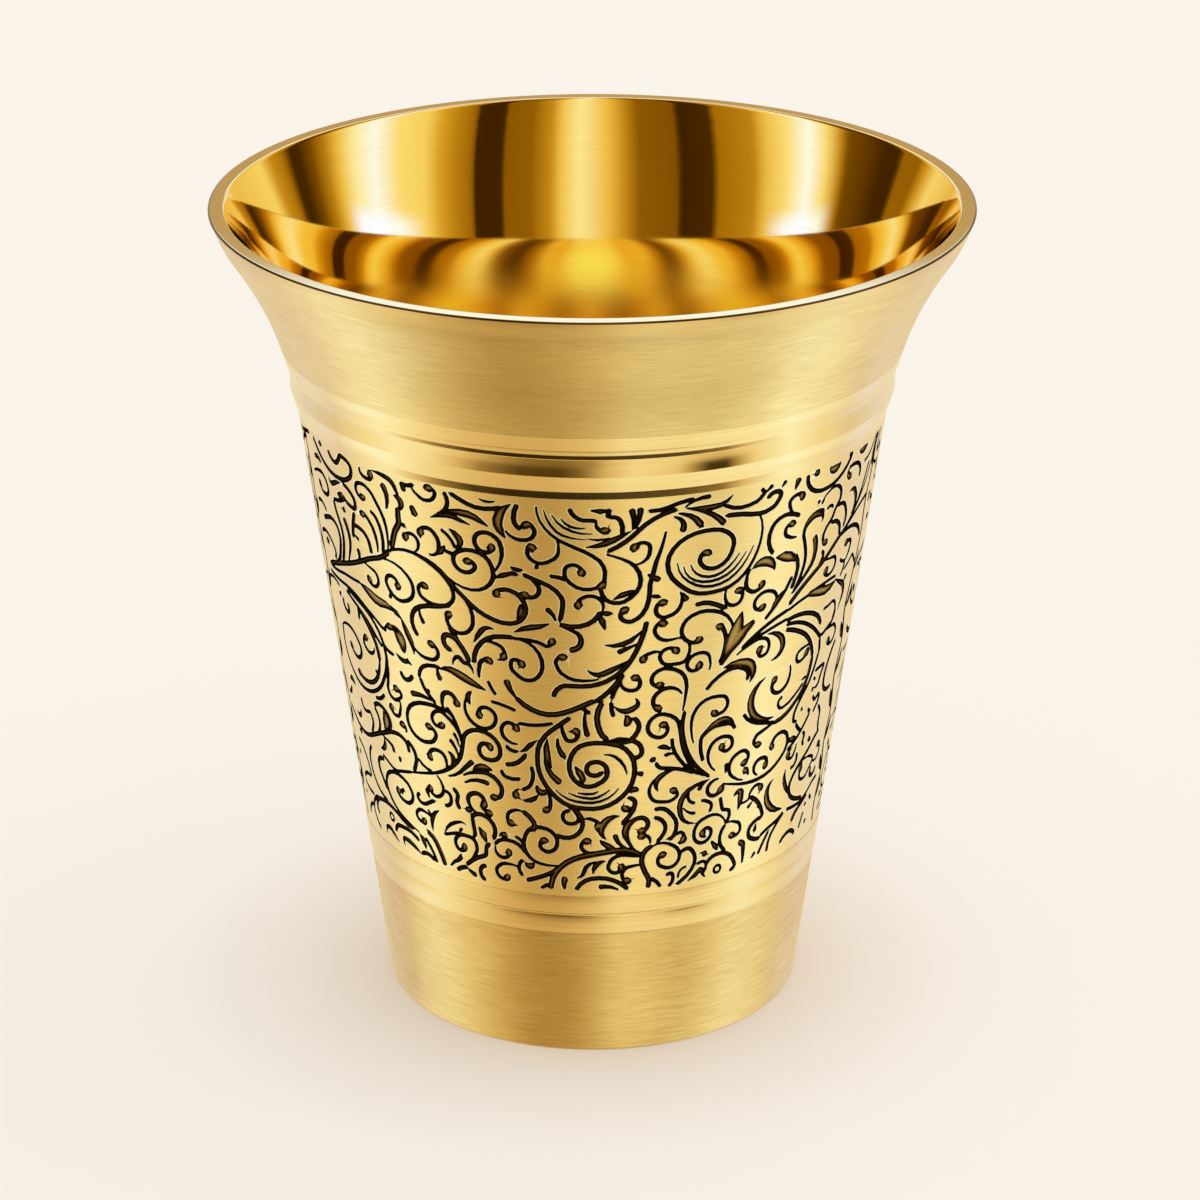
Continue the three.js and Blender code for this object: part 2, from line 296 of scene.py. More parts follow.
# Brass finishes. Brass is a warm yellow metal, so all its colour is in its reflection, and what differs from
# piece to piece is how the surface was worked. Lines turn round the cup's axis because it was worked in a
# lathe. streak is the width of one line, reachAlong how far it runs, both in mm. The real lines are about
# 0.05 mm: they are drawn as coarse as the picture needs to show them.
brassFinishes = {
    # brushed with an abrasive pad while turning: satin, with short fine lines
    "brushedBrass": {"light": "#fedb90", "dark": "#e6ba70", "rough": (0.28, 0.36), "streak": 0.17,
                     "reachAlong": 4, "bump": 0.10, "anisotropic": 0.7},
    # the same on the foot, painted darker and browner all over: painted shade for the shadowed floor it
    # reflects
    "brushedFootBrassPaintedShade": {"light": "#f8cf7c", "dark": "#deac60", "rough": (0.28, 0.36), "streak": 0.17,
                         "reachAlong": 4, "bump": 0.10, "anisotropic": 0.7},
    # brushed finer on the lip's side
    "brushedLipBrass": {"light": "#f7d088", "dark": "#e6bb74", "rough": (0.28, 0.34), "streak": 0.12,
                        "reachAlong": 8, "bump": 0.06, "anisotropic": 0.6},
    # buffed wire: nearly a mirror, with a few soft lines
    "buffedBrass": {"light": "#fad58e", "dark": "#f3c980", "rough": (0.07, 0.11), "streak": 0.25,
                    "reachAlong": 30, "bump": 0.02, "anisotropic": 0.0},
    # the lower wires, rubbed duller
    "rubbedBrass": {"light": "#f8ce84", "dark": "#ecc076", "rough": (0.18, 0.24), "streak": 0.2,
                    "reachAlong": 20, "bump": 0.04, "anisotropic": 0.4},
    # mirror polish inside the cup, with faint lathe lines left in it, duller where the mop did not reach:
    # dull is added to the roughness below the heights dullBelow, in mm
    "polishedBrass": {"light": "#fee484", "dark": "#f7d978", "rough": (0.03, 0.06), "streak": 0.2,
                      "reachAlong": 12, "bump": 0.02, "anisotropic": 0.0,
                      "dull": 0.12, "dullBelow": (90, 84)},
    # the lip's flat land, polished by lips and cloths
    "polishedLipBrass": {"light": "#f8d598", "dark": "#edc98a", "rough": (0.02, 0.05), "streak": 0.14,
                         "reachAlong": 20, "bump": 0.005, "anisotropic": 0.0},
    # painted shade: a dark line painted along the lip's outer rounding, standing in for a dark reflection
    # there
    "paintedDarkEdgeBrass": {"light": "#7d5826", "dark": "#543814", "rough": (0.2, 0.3), "streak": 0.14,
                       "reachAlong": 6, "bump": 0.04, "anisotropic": 0.0},
    # satin sheet round the engraving
    "engravedSheetBrass": {"light": "#fdd78b", "dark": "#f3c778", "rough": (0.24, 0.30), "streak": 0.12,
                           "reachAlong": 9, "bump": 0.05, "anisotropic": 0.5},
    # plain turned underside: rings from the tool, duller and darker
    "turnedBaseBrass": {"light": "#d8b46c", "dark": "#bd9850", "rough": (0.38, 0.5), "streak": 0.45,
                        "reachAlong": 60, "bump": 0.25, "anisotropic": 0.4},
}
# what all the finishes share
lathework = {
    "streakDetail": 3.0, "streakRagged": 0.6,  # noise of the lines
    "cloud": 9.09, "cloudDetail": 2.0,  # mm of the broad clouds, where the hand pressed more or less
    "cloudShare": 0.25,                 # how much of the clouds is mixed into the lines
    "contrast": (0.3, 0.7),             # values of the noise that are spread from dark to light
    "lineDepth": 0.02,                  # mm that the lines stand out at a bump of 1
    "glossTurn": 0.25,                  # the quarter turn that spreads the gloss across the lines
}


def brass(name):
    finish = brassFinishes[name]
    material = bpy.data.materials.new(name)
    tree = emptyTree(material)
    place = addNode(tree, "ShaderNodeTexCoord").outputs["Object"]
    parts = addNode(tree, "ShaderNodeSeparateXYZ", {0: place}).outputs
    flat = addNode(tree, "ShaderNodeCombineXYZ", {0: parts[0], 1: parts[1]}).outputs[0]
    radius = addNode(tree, "ShaderNodeVectorMath", {0: flat}, operation="LENGTH").outputs["Value"]
    # across the lines the height and the radius both count, so they also turn round flat rings
    across = addNode(tree, "ShaderNodeMath", {0: parts[2], 1: radius}, operation="ADD").outputs[0]
    line = 1 / (finish["streak"] * mm)
    run = 1 / (finish["reachAlong"] * mm)
    unrolled = addNode(tree, "ShaderNodeCombineXYZ", {0: parts[0], 1: parts[1], 2: across}).outputs[0]
    brushed = addNode(tree, "ShaderNodeVectorMath", {0: unrolled, 1: (run, run, line)},
                      operation="MULTIPLY").outputs[0]
    streaks = addNode(tree, "ShaderNodeTexNoise", {
        "Vector": brushed, "Scale": 1.0, "Detail": lathework["streakDetail"],
        "Roughness": lathework["streakRagged"]}).outputs[0]
    clouds = addNode(tree, "ShaderNodeTexNoise", {
        "Vector": place, "Scale": 1 / (lathework["cloud"] * mm),
        "Detail": lathework["cloudDetail"]}).outputs[0]
    both = addNode(tree, "ShaderNodeMix", {0: lathework["cloudShare"], 2: streaks, 3: clouds}).outputs[0]
    low, high = lathework["contrast"]
    spread = addNode(tree, "ShaderNodeMapRange", {0: both, 1: low, 2: high}).outputs[0]
    colour = addNode(tree, "ShaderNodeMix", {0: spread, 6: linear(finish["dark"]),
                                             7: linear(finish["light"])}, data_type="RGBA").outputs[2]
    smoothest, roughest = finish["rough"]
    rough = addNode(tree, "ShaderNodeMapRange",
                    {0: both, 1: low, 2: high, 3: roughest, 4: smoothest}).outputs[0]
    if "dull" in finish:
        start, end = finish["dullBelow"]
        dull = addNode(tree, "ShaderNodeMapRange",
                       {0: parts[2], 1: start * mm, 2: end * mm, 4: finish["dull"]}).outputs[0]
        rough = addNode(tree, "ShaderNodeMath", {0: rough, 1: dull}, operation="ADD").outputs[0]
    lines = addNode(tree, "ShaderNodeBump", {
        "Strength": finish["bump"], "Distance": lathework["lineDepth"] * mm, "Height": streaks}).outputs[0]
    ringwise = addNode(tree, "ShaderNodeTangent", direction_type="RADIAL", axis="Z").outputs[0]
    skin = addNode(tree, "ShaderNodeBsdfPrincipled",
                   {"Base Color": colour, "Metallic": 1.0, "Roughness": rough, "Normal": lines,
                    "Anisotropic": finish["anisotropic"], "Anisotropic Rotation": lathework["glossTurn"],
                    "Tangent": ringwise})
    addNode(tree, "ShaderNodeOutputMaterial", {0: skin.outputs[0]})
    return material


finishes = {name: brass(name) for name in brassFinishes}

# Black patina: lacquer and soot rubbed into the cuts. It stays black along the walls of a cut and wears to a
# brown film in the middle of the broad leaves. Its thin outer band is a painted highlight, pale and metallic
cutPatina = {
    # mm from the edge of the cut, and the colour there; the near-white first stops are a painted highlight
    "ramp": [(0.0, "#fff0c8"), (0.09, "#fbe2b0"), (0.13, "#3a270c"), (0.17, "#170e04"), (0.36, "#1a1005"),
             (0.46, "#4d3414"), (0.6, "#946d34"), (0.9, "#bf9752")],
    "paintedHalo": 0.11,                   # mm from the edge painted pale and metallic: a painted highlight along the cut
    "bareFrom": (0.42, 0.64), "bare": 0.8,  # mm between which the film wears to metal, and how far it does
    "wornPatch": 1.5, "wornDetail": 2.0,    # mm of the worn patches
    "rough": (0.3, 0.55),
}

patina = bpy.data.materials.new("blackenedCutBrass")
tree = emptyTree(patina)
reach = addNode(tree, "ShaderNodeAttribute", attribute_name="reach").outputs["Fac"]
ramp = addNode(tree, "ShaderNodeValToRGB", {0: reach})
elements = ramp.color_ramp.elements
elements.remove(elements[1])
for i, (distance, colour) in enumerate(cutPatina["ramp"]):
    element = elements[0] if i == 0 else elements.new(1.0)
    element.position = distance
    element.color = linear(colour)
place = addNode(tree, "ShaderNodeTexCoord").outputs["Object"]
worn = addNode(tree, "ShaderNodeTexNoise", {"Vector": place, "Scale": 1 / (cutPatina["wornPatch"] * mm),
                                            "Detail": cutPatina["wornDetail"]}).outputs[0]
smoothest, roughest = cutPatina["rough"]
rough = addNode(tree, "ShaderNodeMapRange", {0: worn, 3: smoothest, 4: roughest}).outputs[0]
# painted highlight: near its edge the cut turns to pale metal
edge = addNode(tree, "ShaderNodeMath", {0: reach, 1: cutPatina["paintedHalo"]},
               operation="LESS_THAN").outputs[0]
start, end = cutPatina["bareFrom"]
bare = addNode(tree, "ShaderNodeMapRange", {0: reach, 1: start, 2: end, 4: cutPatina["bare"]}).outputs[0]
# metallic where the painted highlight is, and where the film wears to bare metal
paintedHaloAndWornMetal = addNode(tree, "ShaderNodeMath", {0: edge, 1: bare}, operation="MAXIMUM").outputs[0]
skin = addNode(tree, "ShaderNodeBsdfPrincipled", {"Base Color": ramp.outputs[0], "Metallic": paintedHaloAndWornMetal,
                                                  "Roughness": rough, "Specular IOR Level": 0.0})
addNode(tree, "ShaderNodeOutputMaterial", {0: skin.outputs[0]})
print("brass finishes made")

# Wall: the outside of the cup, in mm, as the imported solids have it
wall = {
    "footRadius": 27, "shoulderRadius": 37.9, "collarFootRadius": 39.25, "collarTopRadius": 47.25,
    "lowerSeamBottom": 19.175, "lowerSeamTop": 22.325, "upperSeamBottom": 82.35, "upperSeamTop": 86.9,
    "rimBase": 103.2, "collarStartSlope": 0.25, "solderGap": 0.1, "sheet": 0.5,
}
coneSlope = (wall["shoulderRadius"] - wall["footRadius"]) / wall["upperSeamBottom"]


def wallRadius(height):
    if height <= wall["upperSeamBottom"]:
        return wall["footRadius"] + coneSlope * height
    if height <= wall["upperSeamTop"]:
        share = (height - wall["upperSeamBottom"]) / (wall["upperSeamTop"] - wall["upperSeamBottom"])
        return wall["shoulderRadius"] + share * (wall["collarFootRadius"] - wall["shoulderRadius"])
    flare = wall["rimBase"] - wall["upperSeamTop"]
    share = min(1, (height - wall["upperSeamTop"]) / flare)
    middle = wall["collarFootRadius"] + wall["collarStartSlope"] * flare / 2
    low = wall["collarFootRadius"] + share * (middle - wall["collarFootRadius"])
    high = middle + share * (wall["collarTopRadius"] - middle)
    return low + share * (high - low)


def shares(count):
    return [i / count for i in range(count + 1)]


def alongWall(bottom, top, inset, count):
    heights = [bottom + share * (top - bottom) for share in shares(count)]
    return [(wallRadius(height) - inset, height) for height in heights]


def arc(centre, radius, startDegrees, endDegrees, count):
    angles = [math.radians(startDegrees + share * (endDegrees - startDegrees)) for share in shares(count)]
    return [(centre[0] + radius * math.cos(a), centre[1] + radius * math.sin(a)) for a in angles]


# steps round the cup, and the mm under which points are welded and faces are taken out
turning = {"steps": 192, "weld": 0.001, "thinnest": 0.0001}


def turned(name, outline, materials, pickMaterial=None):
    # spins a closed outline of (radius, height) points in mm, and puts the piece in its solid's place
    bm = bmesh.new()
    corners = [bm.verts.new((radius * mm, 0, height * mm)) for radius, height in outline]
    edges = [bm.edges.new((corners[i - 1], corners[i])) for i in range(len(corners))]
    bmesh.ops.spin(bm, geom=corners + edges, axis=(0, 0, 1), cent=(0, 0, 0), steps=turning["steps"],
                   angle=2 * math.pi, use_merge=True)
    bmesh.ops.remove_doubles(bm, verts=bm.verts, dist=turning["weld"] * mm)
    bmesh.ops.dissolve_degenerate(bm, dist=turning["thinnest"] * mm, edges=bm.edges)
    bmesh.ops.recalc_face_normals(bm, faces=bm.faces)
    if pickMaterial:
        for face in bm.faces:
            middle = face.calc_center_median()
            face.material_index = pickMaterial(middle.xy.length / mm, middle.z / mm)
    piece = newPiece(name, bm, materials)
    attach(piece, "root")
    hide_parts(name.removesuffix("_turned"))


# Foot band: a brushed cone, turned in at the bottom to a flange that it stands on
footBand = {"flangeInside": 24.4, "flangeThickness": 0.8, "edgeRound": 0.4, "edgeSteps": 6}

top = wall["lowerSeamBottom"] - wall["solderGap"] / 2
edgeCentre = (wallRadius(footBand["edgeRound"]) - footBand["edgeRound"], footBand["edgeRound"])
turned("foot_band_turned", [
    (footBand["flangeInside"], 0),
    *arc(edgeCentre, footBand["edgeRound"], -90, 0, footBand["edgeSteps"]),
    (wallRadius(top), top),
    (wallRadius(top) - wall["sheet"], top),
    (wallRadius(footBand["flangeThickness"]) - wall["sheet"], footBand["flangeThickness"]),
    (footBand["flangeInside"], footBand["flangeThickness"]),
], [finishes["brushedFootBrassPaintedShade"]])

# Base plate: a turned disc that lies on the foot's flange
basePlate = {"bottom": 0.8, "top": 1.8, "fit": 0.6}

turned("base_plate_turned", [
    (0, basePlate["bottom"]),
    (wallRadius(basePlate["bottom"]) - basePlate["fit"], basePlate["bottom"]),
    (wallRadius(basePlate["top"]) - basePlate["fit"], basePlate["top"]),
    (0, basePlate["top"]),
], [finishes["turnedBaseBrass"]])

# Girdles: pairs of low wire over the seams, buffed until they run softly into the wall, with the hollow of a
# joint ring between them. Each is written as its slope, mm outwards per mm of height, at heights from the
# bottom up
girdles = {
    "lower": {
        "seams": (wall["lowerSeamBottom"], wall["lowerSeamTop"]), "ring": (20.35, 21.15),
        "finish": "rubbedBrass",
        "slopes": [
            (17.85, 0.38), (17.95, 0.38), (18.0, 0.22), (18.6, 0.17), (19.3, 0.115), (20.0, 0.07),
            (20.3, 0.04), (20.35, -0.03), (20.6, 0.0), (20.75, 0.2), (20.85, 0.38), (20.95, 0.38),
            (21.0, 0.22), (21.6, 0.165), (22.4, 0.11), (23.1, 0.075), (23.5, 0.06)],
    },
    # a flank under the first bead, its crown, the hollow, a sharp step, and a bead that runs into the flare
    "upper": {
        "seams": (wall["upperSeamBottom"], wall["upperSeamTop"]), "ring": (83.3, 85.6),
        "finish": "buffedBrass",
        "slopes": [
            (80.1, 0.43), (81.15, 0.43), (81.25, 0.34), (83.2, 0.2), (83.3, 0.0), (84.6, 0.05),
            (85.55, 0.1), (85.6, 0.43), (86.15, 0.43), (86.25, 0.34), (88.0, 0.27), (88.85, 0.28)],
    },
    "step": 0.1,  # mm of height between the points of a profile
}


def slopedPath(slopes):
    # the profile that starts on the wall and follows the slopes
    heights = sorted({slopes[0][0] + girdles["step"] * i
                      for i in range(int((slopes[-1][0] - slopes[0][0]) / girdles["step"]))}
                     | {height for height, slope in slopes})
    radius, last, path = wallRadius(heights[0]), None, []
    for height in heights:
        (below, first), (above, second) = next(
            pair for pair in zip(slopes, slopes[1:]) if height <= pair[1][0])
        slope = first + (second - first) * (height - below) / (above - below)
        if last:
            radius += (height - last[0]) * (slope + last[1]) / 2
        last = (height, slope)
        path.append((radius, height))
    return path


for side in ("lower", "upper"):
    girdle = girdles[side]
    metal = [finishes[girdle["finish"]]]
    profile = slopedPath(girdle["slopes"])
    ringLow, ringHigh = girdle["ring"]
    seamLow, seamHigh = girdle["seams"]
    turned(f"{side}_bead_bottom_turned", [
        *[point for point in profile if point[1] <= ringLow],
        (wallRadius(ringLow), ringLow),
        (wallRadius(seamLow), seamLow),
    ], metal)
    turned(f"{side}_bead_top_turned", [
        *[point for point in profile if point[1] >= ringHigh],
        (wallRadius(seamHigh), seamHigh),
    ], metal)
    webLow, webHigh = seamLow + wall["solderGap"] / 2, seamHigh - wall["solderGap"] / 2
    turned(f"{side}_joint_ring_turned", [
        (wallRadius(webLow) - wall["sheet"], webLow),
        (wallRadius(webLow), webLow),
        *[point for point in profile if ringLow <= point[1] <= ringHigh],
        (wallRadius(webHigh), webHigh),
        (wallRadius(webHigh) - wall["sheet"], webHigh),
    ], metal)

# Lip collar: a brushed flare
flareSteps = 32
hem = {"height": 1.0, "radius": 47.02}  # where the flare is drawn in to meet the rim band

bottom = wall["upperSeamTop"] + wall["solderGap"] / 2
top = wall["rimBase"]
turned("lip_collar_turned", [
    *alongWall(bottom, top - hem["height"], 0, flareSteps),
    (hem["radius"], top),
    *alongWall(top, bottom, wall["sheet"], flareSteps),
], [finishes["brushedBrass"]])

# Inner liner: the mirror-polished cup, a cone that opens to the inner edge of the lip. All in mm, apart from
# the power of its flare and the steps
innerLiner = {
    "sheet": 0.5, "bottom": 3.2, "corner": 6, "depth": 1.2, "flareStart": 77.35, "edge": 104.1,
    "lipEdge": 105.7, "lipEdgeRadius": 45.98, "power": 2.6, "flareSteps": 40, "cornerSteps": 16,
}


def cupRadius(height):
    # inside radius of the cup
    cone = wall["footRadius"] + coneSlope * height - innerLiner["depth"]
    coneTop = wall["footRadius"] + coneSlope * innerLiner["lipEdge"] - innerLiner["depth"]
    rise = max(0, height - innerLiner["flareStart"]) / (innerLiner["lipEdge"] - innerLiner["flareStart"])
    return cone + (innerLiner["lipEdgeRadius"] - coneTop) * rise ** innerLiner["power"]


wallFoot = innerLiner["bottom"] + innerLiner["corner"]
cornerCentre = (cupRadius(wallFoot) + innerLiner["sheet"] - innerLiner["corner"], wallFoot)
flareHeights = [innerLiner["flareStart"] + share * (innerLiner["edge"] - innerLiner["flareStart"])
                for share in shares(innerLiner["flareSteps"])]
turned("inner_liner_turned", [
    (0, innerLiner["bottom"]),
    *arc(cornerCentre, innerLiner["corner"], -90, 0, innerLiner["cornerSteps"]),
    *[(cupRadius(height) + innerLiner["sheet"], height) for height in flareHeights],
    *[(cupRadius(height), height) for height in reversed(flareHeights)],
    *arc(cornerCentre, innerLiner["corner"] - innerLiner["sheet"], 0, -90, innerLiner["cornerSteps"]),
    (0, innerLiner["bottom"] + innerLiner["sheet"]),
], [finishes["polishedBrass"]])

# Rim band: a satin lip with a brushed side, whose polished inner edge runs on from the cup and rounds over
rimBand = {
    "top": 106, "lean": 0.42, "outerRadius": 48.2, "outerRound": 0.22, "outerSteps": 8,
    "spigotBottom": 102.6, "seatGap": 0.05, "landInside": 46.3, "landMargin": 0.11, "polishedTo": 46.15,
    "edgeDrop": 0.25, "landHandle": 0.14, "cupHandle": 0.2,  # how the inner edge rounds over
    "edgeSteps": 10, "insideSteps": 8,
}
rimFinishes = ["polishedLipBrass", "polishedBrass", "brushedLipBrass", "paintedDarkEdgeBrass"]

outerCentre = (rimBand["outerRadius"] - (1 + rimBand["lean"]) * rimBand["outerRound"],
               rimBand["top"] - rimBand["outerRound"])


def rimFinish(radius, height):
    # the number of a face's finish: polished in the cup, brushed on the side, painted dark on the outer edge
    # as a painted reflection
    if radius < rimBand["polishedTo"]:
        return rimFinishes.index("polishedBrass")
    if height < outerCentre[1]:
        return rimFinishes.index("brushedLipBrass")
    return rimFinishes.index("paintedDarkEdgeBrass" if radius > outerCentre[0] else "polishedLipBrass")


fit = wall["sheet"] + wall["solderGap"]
seat = cupRadius(innerLiner["edge"]) + innerLiner["sheet"] + wall["solderGap"]
cupTop = innerLiner["lipEdge"] - rimBand["edgeDrop"]
handleTop = cupTop + rimBand["cupHandle"]
insideHeights = [cupTop + share * (innerLiner["edge"] - cupTop) for share in shares(rimBand["insideSteps"])]
edgeTurn = [Vector(corner) for corner in (
    (rimBand["landInside"], rimBand["top"]),
    (rimBand["landInside"] - rimBand["landHandle"], rimBand["top"]),
    (cupRadius(handleTop), handleTop),
    (cupRadius(cupTop), cupTop),
)]
turned("rim_band_turned", [
    (seat, rimBand["spigotBottom"]),
    (wallRadius(rimBand["spigotBottom"]) - fit, rimBand["spigotBottom"]),
    (wallRadius(wall["rimBase"]) - fit, wall["rimBase"]),
    (hem["radius"], wall["rimBase"]),
    *arc(outerCentre, rimBand["outerRound"], 0, 90, rimBand["outerSteps"]),
    (outerCentre[0] - rimBand["landMargin"], rimBand["top"]),  # these two keep the land dead flat
    (rimBand["landInside"] + rimBand["landMargin"], rimBand["top"]),
    *[tuple(corner) for corner in interpolate_bezier(*edgeTurn, rimBand["edgeSteps"])],
    *[(cupRadius(height), height) for height in insideHeights[1:]],
    (seat, innerLiner["edge"] + rimBand["seatGap"]),
], [finishes[name] for name in rimFinishes], rimFinish)
print("turned pieces made")

